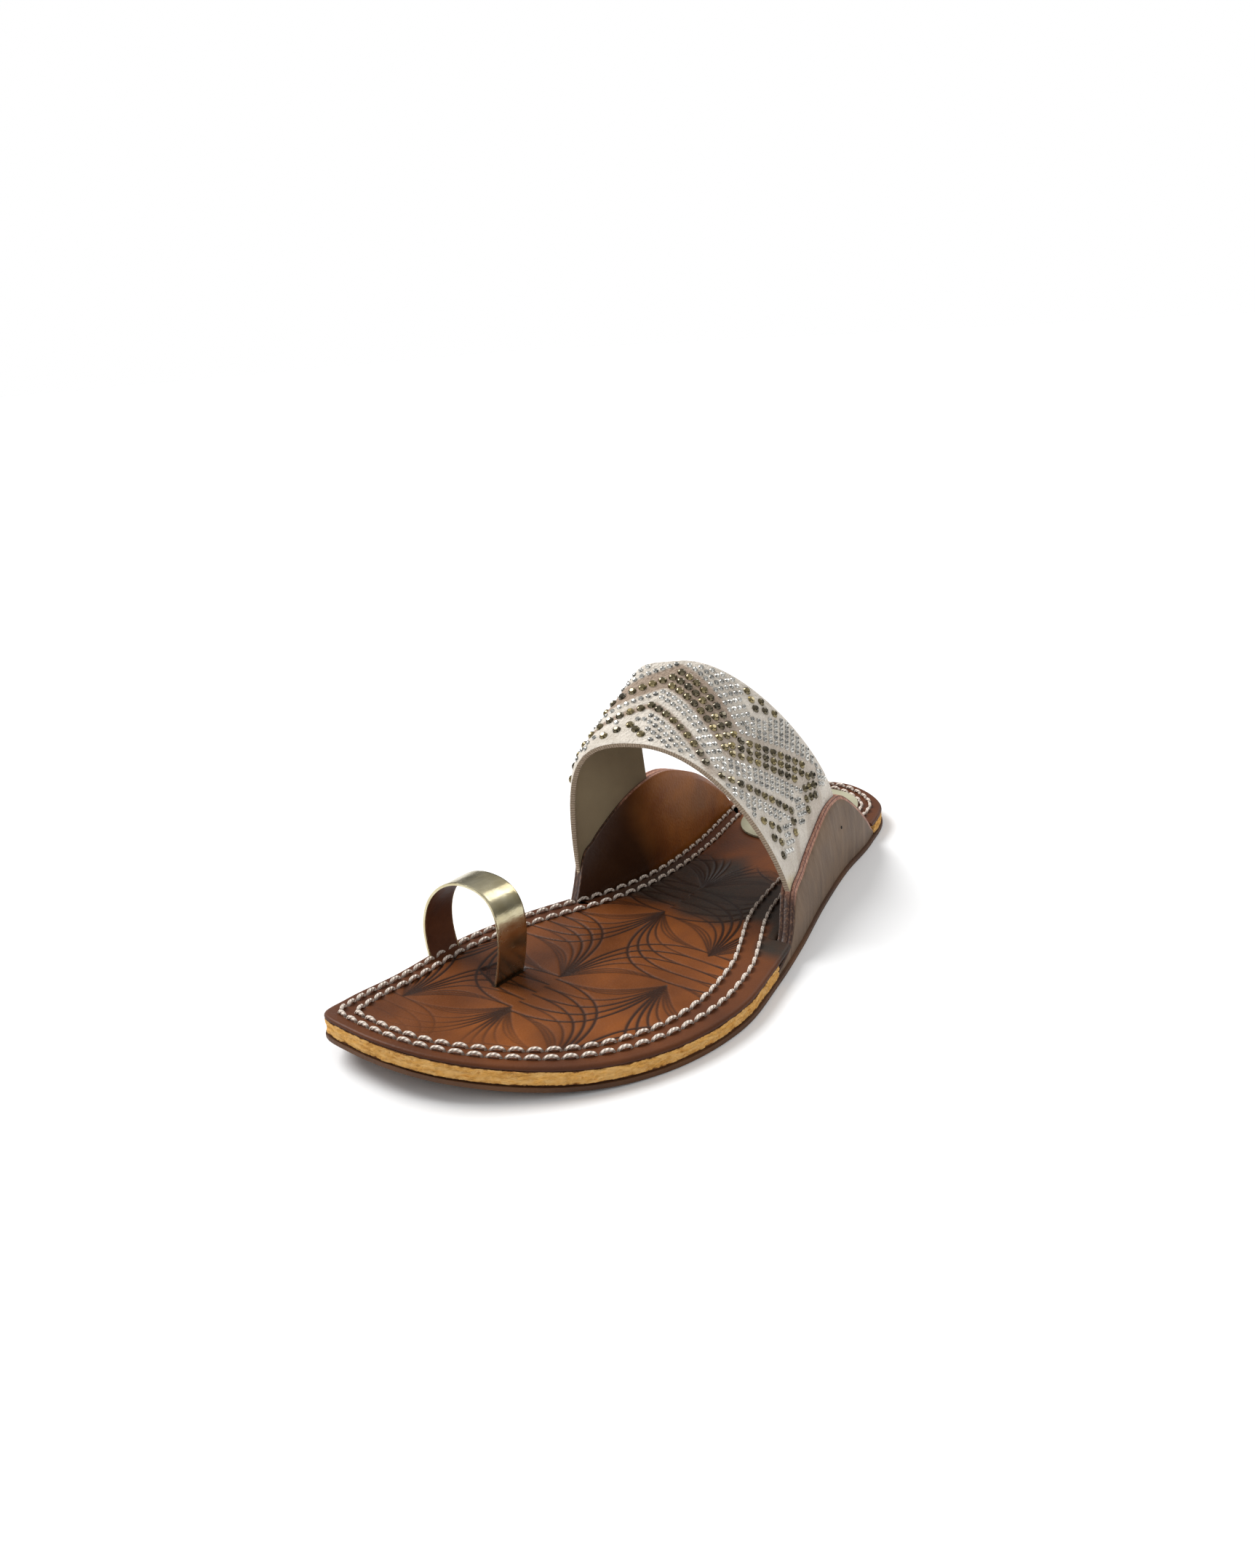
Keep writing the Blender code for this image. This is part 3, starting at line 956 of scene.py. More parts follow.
@dataclass(frozen=True)
class FootbedLeather(Leather):
    """Chestnut leather: the attribute groove darkens the tooling and, as painted shade, the toe ring's foot slits;
    stain lays the dyed zone, with painted shade keeping it dark on the medial side; margin darkens the edge and, as
    painted shade, the hollow by the ring's lateral foot.
    """

    streak: Colour = (0.11, 0.034, 0.012)
    # Dark edge margin; also painted shade in the hollow and slits by the toe ring's feet.
    edge: Colour = (0.058, 0.018, 0.008)
    # The dyed zone's colour, which on the medial side is painted shade as well.
    dye_and_shade: Colour = (0.032, 0.022, 0.015)
    # Tooled lines; also painted shade in the toe ring's foot slits.
    tooled: Colour = (0.022, 0.008, 0.004)

    def paint(self, graph: Graph, out: Outputs) -> tuple[Socket, Socket, Socket]:
        """Lays streaks, the dark margin, the dyed zone and the tooling over the plain leather, with painted shade on
        the dyed zone's medial side and in the hollow and slits by the toe ring's feet.

        Args:
            graph: the material's graph.
            out: the effect's outputs Height and Tone.

        Returns:
            The colour, the relief, and the tone that sets the roughness.
        """
        base = graph.mix(out["Tone"], self.dark, self.light)
        streaks = graph.noise(graph.place((1.0, 0.22, 1.0)), 160.0)
        base = graph.mix(graph.spread(streaks, 0.35, 0.7, (0.0, 0.35)), base, self.streak)
        # Dark margin, with painted shade in the hollow and slits by the toe ring's feet.
        base = graph.mix(graph.math("MULTIPLY", graph.attribute("margin"), 0.95, True), base, self.edge)
        patchy = graph.spread(graph.noise(graph.place(), 130.0), 0.25, 0.6, (0.80, 1.0))
        # The dyed zone, with painted shade on its medial side.
        stain_and_shade = graph.math("MULTIPLY", graph.attribute("stain_and_shade"), patchy, True)
        base = graph.mix(stain_and_shade, base, self.dye_and_shade)
        # Tooling, with painted shade in the toe ring's foot slits.
        colour = graph.mix(graph.spread(graph.attribute("groove"), 0.12, 0.62, (0.0, 0.95)), base, self.tooled)
        dull = graph.math("ADD", out["Tone"], graph.math("MULTIPLY", graph.attribute("margin"), 1.2))
        return colour, out["Height"], dull


@dataclass(frozen=True)
class FoldedEarLeather(Leather):
    """Ear leather: streaky taupe outside, glossy orange brown inside, and raw layered edges on top.

    Each pair of colours is light, then dark. The attributes inner, raw, front, seam and shade say where
    the inside, the raw edge, its front (burnished, and painted shade beside the band), the joints of its layers and
    the painted shade on the inside lie.
    """

    scuff: tuple[Colour, Colour] = ((0.26, 0.175, 0.115), (0.075, 0.044, 0.026))
    inside: tuple[Colour, Colour] = ((0.52, 0.180, 0.028), (0.28, 0.080, 0.013))
    inside_rough: tuple[float, float] = (0.30, 0.42)
    raw: tuple[Colour, Colour] = ((0.52, 0.28, 0.19), (0.24, 0.090, 0.060))
    # The raw edge's front: burnished, and painted shade beside the band.
    worn_and_shaded: tuple[Colour, Colour] = ((0.20, 0.10, 0.055), (0.045, 0.020, 0.012))
    # Painted shade on the inside, where the band keeps light off it.
    shaded: Colour = (0.020, 0.009, 0.006)
    seam: Colour = (0.030, 0.010, 0.007)

    def paint(self, graph: Graph, out: Outputs) -> tuple[Socket, Socket, Socket]:
        """Mixes the outside, the inside and the raw edges by their attributes.

        Args:
            graph: the material's graph.
            out: the effect's outputs Height and Tone.

        Returns:
            The colour, the relief, and the tone that sets the roughness.
        """
        outside = graph.mix(out["Tone"], self.dark, self.light)
        scuffs = graph.noise(graph.place((1.6, 1.6, 0.22)), 240.0)
        outside = graph.mix(graph.spread(scuffs, 0.50, 0.72, (0.0, 0.40)), outside, self.scuff[0])
        outside = graph.mix(graph.spread(scuffs, 0.28, 0.44, (0.50, 0.0)), outside, self.scuff[1])
        inside = graph.mix(out["Tone"], self.inside[1], self.inside[0])
        # Painted shade on the inside, darkest at its front and foot.
        inside = graph.mix(graph.attribute("shade"), inside, self.shaded)
        colour = graph.mix(graph.attribute("inner"), outside, inside)
        fibre = graph.noise(graph.place((1.0, 1.0, 0.3)), 1400.0)
        raw = graph.mix(graph.spread(fibre, 0.35, 0.65), self.raw[1], self.raw[0])
        worn_and_shaded = graph.mix(graph.spread(fibre, 0.45, 0.75), self.worn_and_shaded[1], self.worn_and_shaded[0])
        # The raw edge's front: burnished, and painted shade beside the band.
        raw = graph.mix(graph.attribute("front"), raw, worn_and_shaded)
        colour = graph.mix(graph.attribute("raw"), colour, raw)
        return graph.mix(graph.attribute("seam"), colour, self.seam), out["Height"], out["Tone"]

    def close(self, graph: Graph, shader: bpy.types.Node, colour: Socket, height: Socket, tone: Socket) -> None:
        """Links what was mixed to the shader, with the inside glossier than the outside.

        Args:
            graph: the material's graph.
            shader: its shader.
            colour: the finished colour.
            height: the relief.
            tone: from 0 to 1 over the range of roughness.
        """
        super().close(graph, shader, colour, height, tone)
        matt = shader.inputs["Roughness"].links[0].from_socket
        glossy = graph.spread(tone, 0.0, 1.0, self.inside_rough)
        rough = graph.node("Mix", {0: graph.attribute("inner"), 2: matt, 3: glossy}).outputs[0]
        graph.tree.links.new(rough, shader.inputs["Roughness"])


@dataclass(frozen=True)
class BrushedSuede(Leather):
    """Pale brushed suede: the attribute glue tints it under the gold stones, more strongly towards the medial side
    as painted shade, yellowed at the lateral end.
    """

    nap: Colour = (0.78, 0.72, 0.64)
    # Glue tint under the stones; towards the medial side it is painted shade as well.
    glued_and_shaded: Colour = (0.34, 0.235, 0.160)
    yellow: Colour = (0.52, 0.40, 0.16)
    sheen: float = 0.35
    sheen_rough: float = 0.5

    def start(self) -> tuple[bpy.types.Material, Graph, bpy.types.Node, Outputs]:
        """Begins the material and sets its sheen.

        Returns:
            The material, its graph, its shader, and its effect's outputs Height and Tone.
        """
        made, graph, shader, out = super().start()
        shader.inputs["Sheen Weight"].default_value = self.sheen
        shader.inputs["Sheen Roughness"].default_value = self.sheen_rough
        return made, graph, shader, out

    def paint(self, graph: Graph, out: Outputs) -> tuple[Socket, Socket, Socket]:
        """Lays the nap, the glue tint with its painted shade, and the yellowed end over the plain suede.

        Args:
            graph: the material's graph.
            out: the effect's outputs Height and Tone.

        Returns:
            The colour, the relief, and the tone that sets the roughness.
        """
        base = graph.mix(out["Tone"], self.dark, self.light)
        nap = graph.noise(graph.place((1.0, 0.5, 1.0)), 1500.0)
        base = graph.mix(graph.spread(nap, 0.35, 0.7, (0.0, 0.35)), base, self.nap)
        # Glue tint, with painted shade towards the medial side.
        base = graph.mix(graph.attribute("glue_and_shade"), base, self.glued_and_shaded)
        base = graph.mix(graph.attribute("yellowed"), base, self.yellow)
        return base, graph.math("ADD", out["Height"], nap), out["Tone"]


@dataclass(frozen=True)
class WaxedThread(Leather):
    """White waxed thread: painted shade between its strands and, by the attribute tuck, on a stitch's sunk ends;
    grime darkens the stitches in the dyed zone, as dirt and as painted shade under the band.
    """

    # Painted shade in the groove between the two strands.
    groove: Colour = (0.34, 0.24, 0.17)
    # Painted shade at a stitch's ends, where it sinks into the leather.
    tucked: Colour = (0.070, 0.032, 0.018)
    # Dirt and painted shade under the band, on the stitches in the dyed zone.
    grimy_and_shaded: Colour = (0.10, 0.060, 0.040)

    def paint(self, graph: Graph, out: Outputs) -> tuple[Socket, Socket, Socket]:
        """Twists two strands about each other, paints shade between them and at the ends, and darkens the dyed
        zone's stitches with dirt and painted shade.

        Args:
            graph: the material's graph.
            out: the effect's outputs Height and Tone.

        Returns:
            The colour, the relief, and the tone that sets the roughness.
        """
        base = graph.mix(out["Tone"], self.dark, self.light)
        strands = graph.math("SINE", graph.math("MULTIPLY", graph.attribute("twist"), 2 * math.pi))
        # Painted shade where the strands meet.
        base = graph.mix(graph.spread(strands, -1.0, -0.2, (0.55, 0.0)), base, self.groove)
        # Painted shade at a stitch's ends, where it sinks into the leather.
        base = graph.mix(graph.math("MULTIPLY", graph.attribute("tuck"), 0.85), base, self.tucked)
        # Dirt and painted shade under the band, on the stitches in the dyed zone.
        base = graph.mix(graph.attribute("grime_and_shade"), base, self.grimy_and_shaded)
        height = graph.math("ADD", graph.math("MULTIPLY", out["Height"], 0.3), strands)
        return base, height, out["Tone"]


@dataclass(frozen=True)
class RibbedEdge(Leather):
    """The band's cut edge: pale fibres in fine ribs across its thickness, counted along the band."""

    ribs: int = 165
    # Painted shade in the hollows between the ribs.
    between: Colour = (0.20, 0.13, 0.085)

    def paint(self, graph: Graph, out: Outputs) -> tuple[Socket, Socket, Socket]:
        """Lays the ribs along the piece's UV map, with painted shade between them.

        Args:
            graph: the material's graph.
            out: the effect's outputs Height and Tone.

        Returns:
            The colour, the relief, and the tone that sets the roughness.
        """
        lengthwise = graph.node("SeparateXYZ", {0: graph.node("TexCoord").outputs["UV"]}).outputs[1]
        ribs = graph.math("SINE", graph.math("MULTIPLY", lengthwise, 2 * math.pi * self.ribs))
        base = graph.mix(out["Tone"], self.dark, self.light)
        # Painted shade in the hollows between the ribs.
        base = graph.mix(graph.spread(ribs, -1.0, 0.2, (0.55, 0.0)), base, self.between)
        return base, graph.math("ADD", out["Height"], ribs), out["Tone"]


@dataclass(frozen=True)
class RawTan(Leather):
    """The midsole's raw edge: ochre fibres, darker brown along its upper and lower rim."""

    flake: Colour = (0.86, 0.55, 0.22)
    rim_brown: Colour = (0.115, 0.048, 0.020)

    def paint(self, graph: Graph, out: Outputs) -> tuple[Socket, Socket, Socket]:
        """Lays pale flakes and the darker rims over the fibres.

        Args:
            graph: the material's graph.
            out: the effect's outputs Height and Tone.

        Returns:
            The colour, the relief, and the tone that sets the roughness.
        """
        base = graph.mix(out["Tone"], self.dark, self.light)
        flakes = graph.noise(graph.place((1.0, 1.0, 2.2)), 330.0)
        base = graph.mix(graph.spread(flakes, 0.42, 0.62, (0.0, 0.55)), base, self.flake)
        rim = graph.math("MULTIPLY", graph.attribute("rim"), 1.5)
        rim_darkening = graph.math("SUBTRACT", rim, graph.spread(flakes, 0.35, 0.6))
        base = graph.mix(graph.math("MULTIPLY", rim_darkening, 1.6, True), base, self.rim_brown)
        return base, graph.math("ADD", out["Height"], graph.math("MULTIPLY", flakes, 1.6)), out["Tone"]


@dataclass(frozen=True)
class Foil:
    """Champagne gold foil on leather, lightly crinkled."""

    name: str = "ring_gold_foil"
    light: Colour = (0.66, 0.60, 0.41)
    dark: Colour = (0.52, 0.45, 0.27)
    rough: tuple[float, float] = (0.16, 0.30)
    bump: float = 0.12

    def build(self) -> bpy.types.Material:
        """Makes the material.

        Returns:
            The foil's material.
        """
        made, graph, shader = new_material(self.name)
        shader.inputs["Metallic"].default_value = 1.0
        soft = graph.noise(graph.place(), 120.0, 2.0)
        wrinkles = graph.noise(graph.place((1.0, 0.35, 1.0)), 420.0, 3.0)
        colour = graph.mix(graph.spread(soft, 0.35, 0.65), self.dark, self.light)
        graph.tree.links.new(colour, shader.inputs["Base Color"])
        graph.tree.links.new(graph.spread(wrinkles, 0.3, 0.7, self.rough), shader.inputs["Roughness"])
        height = graph.math("ADD", wrinkles, graph.math("MULTIPLY", soft, 1.5))
        bump = graph.node("Bump", {"Height": height, "Strength": self.bump, "Distance": BUMP_DISTANCE})
        graph.tree.links.new(bump.outputs[0], shader.inputs["Normal"])
        return made


@dataclass(frozen=True)
class StoneGlass:
    """Foil-backed glass: the attribute copy gives each stone its own tone between two colours."""

    name: str
    dark: Colour
    light: Colour
    metallic: float = 0.85
    coat_rough: float = 0.02
    rough: tuple[float, float] = (0.06, 0.16)

    def build(self) -> bpy.types.Material:
        """Makes the material.

        Returns:
            The stones' material.
        """
        made, graph, shader = new_material(self.name)
        shader.inputs["Metallic"].default_value = self.metallic
        shader.inputs["Coat Weight"].default_value = 1.0
        shader.inputs["Coat Roughness"].default_value = self.coat_rough
        tone = graph.attribute("copy")
        graph.tree.links.new(graph.mix(tone, self.dark, self.light), shader.inputs["Base Color"])
        graph.tree.links.new(graph.spread(tone, 0.0, 1.0, self.rough), shader.inputs["Roughness"])
        return made


CHESTNUT = FootbedLeather(
    "footbed_chestnut", (0.240, 0.067, 0.0085), (0.085, 0.024, 0.005), (0.34, 0.52), 1100, 36, 0.14, 0.02, gloss=0.20
)
TAN_EDGE = RawTan(
    "midsole_raw_tan", (0.80, 0.43, 0.115), (0.54, 0.265, 0.065), (0.75, 0.95), 360, 60, 1.0, 0.0, True, 0.1
)
SOLE_BROWN = Leather("outsole_brown", (0.15, 0.066, 0.026), (0.065, 0.028, 0.013), (0.55, 0.75), 700, 40, 0.2)
SOCK = Leather("sock_pale", (0.40, 0.38, 0.27), (0.30, 0.28, 0.19), (0.7, 0.85), 1500, 90, 0.15)
EAR = FoldedEarLeather("ear_taupe", (0.200, 0.130, 0.080), (0.110, 0.067, 0.039), (0.50, 0.68), 1000, 70, 0.15)
SUEDE = BrushedSuede(
    "band_suede", (0.82, 0.75, 0.655), (0.60, 0.53, 0.44), (0.9, 1.0), 760, 150, 0.95, 0.0, False, 0.1
)
LINING = Leather("band_lining", (0.31, 0.245, 0.15), (0.20, 0.15, 0.09), (0.75, 0.9), 1300, 30, 0.12)
CUT_EDGE = RibbedEdge(
    "band_cut_edge", (0.68, 0.56, 0.43), (0.48, 0.37, 0.26), (0.85, 1.0), 1500, 60, 0.6, 0.0, True, 0.1
)
# A dark disc standing for the pinhole: painted shade.
HOLE_SHADE = Leather("pinhole_painted_shade", (0.012, 0.008, 0.006), (0.006, 0.004, 0.003), (0.8, 0.9), 900, 60, 0.1)
RING_LINING = Leather("ring_lining", (0.16, 0.055, 0.022), (0.07, 0.024, 0.012), (0.4, 0.6), 900, 90, 0.15)
THREAD = WaxedThread("stitch_thread", (0.90, 0.81, 0.72), (0.70, 0.59, 0.50), scale=2500, bump=0.5, fibre=True)
GOLD_GLASS = StoneGlass("stone_gold", (0.050, 0.037, 0.013), (0.23, 0.175, 0.065))
CLEAR_GLASS = StoneGlass("stone_clear", (0.25, 0.245, 0.225), (0.62, 0.61, 0.57))


# ---------------------------------------------------------------- sub-assemblies


@dataclass
class Stitching:
    """The two rows of thread round the footbed."""

    pitch: float = 0.00507
    thread_radius: float = 0.00058
    rise: float = 0.00100
    sunk: float = 0.00045
    cover: float = 0.455
    turns: float = 1.7
    blend: int = 12
    stations: tuple = (-124, -100, -70, -50, -38, -22, -8, 4, 14, 60, 85, 105, 124)
    lateral_inset: tuple = (4.9, 5.0, 5.4, 6.0, 6.5, 6.6, 9.6, 12.2, 13.0, 9.4, 6.4, 4.8, 5.0)
    medial_inset: tuple = (4.9, 4.3, 4.1, 4.1, 4.3, 4.8, 6.2, 7.2, 7.2, 7.2, 6.2, 5.4, 5.0)
    lateral_gap: tuple = (4.4, 4.5, 4.8, 5.6, 6.0, 6.2, 6.0, 5.8, 5.4, 4.0, 3.0, 3.1, 4.0)
    medial_gap: tuple = (4.4, 4.2, 4.4, 5.0, 5.6, 5.8, 5.6, 5.2, 4.8, 4.6, 4.6, 4.4, 4.0)

    def inset(self, rows: float) -> np.ndarray:
        """How far a row lies inside the outline at each of its points: it steps in beside the ears.

        Args:
            rows: 0 for the outer row, 1 for the inner one, more for a line further in.

        Returns:
            The distance for each point of the outline.
        """
        y = EDGE.points[:, 1] / MM
        found = []
        for first, gap in ((self.lateral_inset, self.lateral_gap), (self.medial_inset, self.medial_gap)):
            found.append(np.interp(y, self.stations, np.array(first) + rows * np.array(gap)) * MM)
        return np.where(EDGE.normals[:, 0] > 0, *found)

    def row(self, rows: float) -> np.ndarray:
        """A row's line.

        Args:
            rows: 0 for the outer row, 1 for the inner one, more for a line further in.

        Returns:
            Points on the footbed's plane at equal small steps, closed.
        """
        line = EDGE.inset(self.inset(rows))
        reach = range(-self.blend, self.blend + 1)
        weights = np.array([self.blend + 1 - abs(k) for k in reach])
        weights = weights / weights.sum()
        line = sum(w * np.roll(line, k, axis=0) for k, w in zip(reach, weights))
        closed = np.vstack([line, line[:1]])
        at = along(closed)
        even = np.linspace(0.0, at[-1], 2001)
        return np.column_stack([np.interp(even, at, closed[:, k]) for k in (0, 1)])

    def stitch(self) -> bpy.types.Object:
        """One stitch: a humped tube of thread, its ends sunk into the leather, with its twist's phase.

        Returns:
            The stitch at the origin, with the attributes twist and tuck.
        """
        steps, around = 11, 6
        s = np.linspace(-1.0, 1.0, steps)
        half = self.pitch * self.cover
        crest = (self.rise + self.sunk) * (1 - np.abs(s) ** 2.6) - self.sunk
        centre = np.column_stack([s * half, np.zeros(steps), crest])
        tangent = np.gradient(centre, axis=0)
        tangent /= np.linalg.norm(tangent, axis=1)[:, None]
        across = np.array([0.0, 1.0, 0.0])
        above = np.cross(tangent, across)
        angles = np.arange(around) / around * 2 * math.pi - math.pi / 2
        loops = []
        for k in range(steps):
            radius = self.thread_radius * (1 - 0.30 * abs(s[k]) ** 4)
            ring = centre[k] + np.outer(np.cos(angles) * radius, across)
            loops.append(ring + np.outer(np.sin(angles) * radius, above[k]))
        tube = lofted("stitch", loops)
        co = np.array([v.co for v in tube.data.vertices])
        middle = np.interp(co[:, 0], centre[:, 0], crest)
        phase = ((np.arctan2(co[:, 2] - middle, co[:, 1]) + math.pi / 2) / (2 * math.pi)) % 1.0
        mark(tube, "twist", 2 * phase + self.turns * co[:, 0] / half)
        mark(tube, "tuck", ramp(np.abs(co[:, 0]) / half, 0.70, 0.98))
        return tube

    def build(self, look: bpy.types.Material) -> None:
        """Lays both rows.

        Args:
            look: the thread's material.
        """
        for name, rows, shift in (("stitches_outer", 0.0, 0.0), ("stitches_inner", 1.0, 0.5)):
            line = self.row(rows)
            at = along(line)
            count = round(at[-1] / self.pitch)
            template = self.stitch()
            places = []
            for k in range(count):
                where = (k + shift) / count * at[-1]
                x, y = (np.interp(where, at, line[:, a]) for a in (0, 1))
                ahead = (where + 0.002) % at[-1]
                fx, fy = (np.interp(ahead, at, line[:, a]) for a in (0, 1))
                point = np.array([x, y, SOLE.footbed_top + SOLE.top_lift(y)])
                forward = np.array([fx, fy, SOLE.footbed_top + SOLE.top_lift(fy)]) - point
                sideways = np.cross([0.0, 0.0, 1.0], forward)
                places.append(place_on(point, forward, np.cross(forward, sideways)))
            row = scatter(name, template, places)
            co = np.array([v.co for v in row.data.vertices])
            # Stitches on the lateral side of the dyed zone: dirt, and painted shade under the band.
            grime_and_shade = ramp(co[:, 1], -0.010, 0.012) * (1 - ramp(co[:, 1], 0.030, 0.050))
            mark(row, "grime_and_shade", grime_and_shade * 0.55 * ramp(co[:, 0], 0.0, 0.020))
            dress(row, look)
            shade(row, math.radians(60))
            finish_piece(row, "footbed_leather")


@dataclass
class Tooling:
    """The tooled sheaves and fans of the footbed, as lines in its plane.

    Sheaves stand on columns a step apart, every other column half a period further, and from each
    sheaf's two tips a fan of lines runs to the sheaves beside it.
    """

    column_x: float = -0.0050
    column_step: float = 0.0302
    period: float = 0.0725
    first_y: float = 0.0018
    half_height: float = 0.0106
    lateral_shift: float = -0.0016
    lines: int = 7
    leaf_lines: int = 3
    end_y: float = 0.040
    start_angle: tuple = (50, 88)
    pull: tuple = (0.0120, 0.0245)
    landing: tuple = (0.50, 0.78)
    faintest: float = 0.62
    width: float = 0.00030
    swell: float = 0.00022
    taper: float = 0.00014

    def arcs(self) -> list[tuple[np.ndarray, float]]:
        """All the lines, each as points in the footbed's plane, with how boldly it is cut.

        Returns:
            A pair for each line.
        """
        found = []
        for column in range(-2, 3):
            x = self.column_x + column * self.column_step
            offset = 0.0 if column % 2 == 0 else self.period / 2
            for turn in range(-2, 3):
                y = self.first_y + offset + turn * self.period + self.lateral_shift * (column == 1)
                for up in (1, -1):
                    apex = np.array([x, y + up * self.half_height])
                    for way in (1, -1):
                        found += self.fan(apex, up, way)
        return found

    def fan(self, apex: np.ndarray, up: int, way: int) -> list[tuple[np.ndarray, float]]:
        """Lines from a sheaf's tip to the sheaf beside it.

        Args:
            apex: the tip.
            up: 1 for the tip towards the heel, -1 for the one towards the toe.
            way: 1 for the sheaf on the lateral side, -1 for the medial one.

        Returns:
            For each line of the fan, its points and how boldly it is cut.
        """
        found = []
        near = self.period / 2 - 2 * self.half_height
        for k in range(self.lines):
            share = k / (self.lines - 1)
            past = max(k + 1 - self.leaf_lines, 0) / (self.lines - self.leaf_lines)
            end = apex + np.array([way * self.column_step, up * (near + past * 2 * self.half_height)])
            ranges = (self.start_angle, self.pull, self.landing)
            angle, pull, reach = (low + (high - low) * share for low, high in ranges)
            angle = math.radians(angle)
            handle = apex + np.array([way * math.cos(angle), up * math.sin(angle)]) * pull
            landing = end - np.array([way * reach * self.column_step, 0.0])
            bold = self.faintest + (1 - self.faintest) * float(ramp(share, 0.35, 0.8))
            found.append((bezier(apex, handle, landing, end, 44), bold))
        return found

    def grooves(self, points: np.ndarray) -> np.ndarray:
        """How deep the tooling is at points in the footbed's plane, from 0 to 1.

        Args:
            points: the points.

        Returns:
            The depth at each point.
        """
        depth = np.zeros(len(points))
        for line, bold in self.arcs():
            low, high = line.min(0) - 0.0012, line.max(0) + 0.0012
            near = np.flatnonzero(((points > low) & (points < high)).all(1))
            if len(near) == 0:
                continue
            a, b = line[:-1][None], line[1:][None]
            p = points[near][:, None]
            ab = b - a
            t = np.clip(((p - a) * ab).sum(-1) / (ab**2).sum(-1), 0.0, 1.0)
            distance = np.linalg.norm(p - (a + t[..., None] * ab), axis=-1)
            best = distance.argmin(1)
            share = best / (len(line) - 2)
            width = (self.width + self.swell * ramp(share, 0.0, 0.22) - self.taper * share) * (0.75 + 0.25 * bold)
            strength = bold * (1.0 - 0.30 * share)
            found = strength * np.exp(-((distance[np.arange(len(near)), best] / width) ** 2))
            depth[near] = np.maximum(depth[near], found)
        fade = 1 - ramp(points[:, 1], self.end_y - 0.010, self.end_y)
        toe = 0.35 + 0.65 * ramp(points[:, 1], -0.108, -0.085)
        return depth * fade * toe


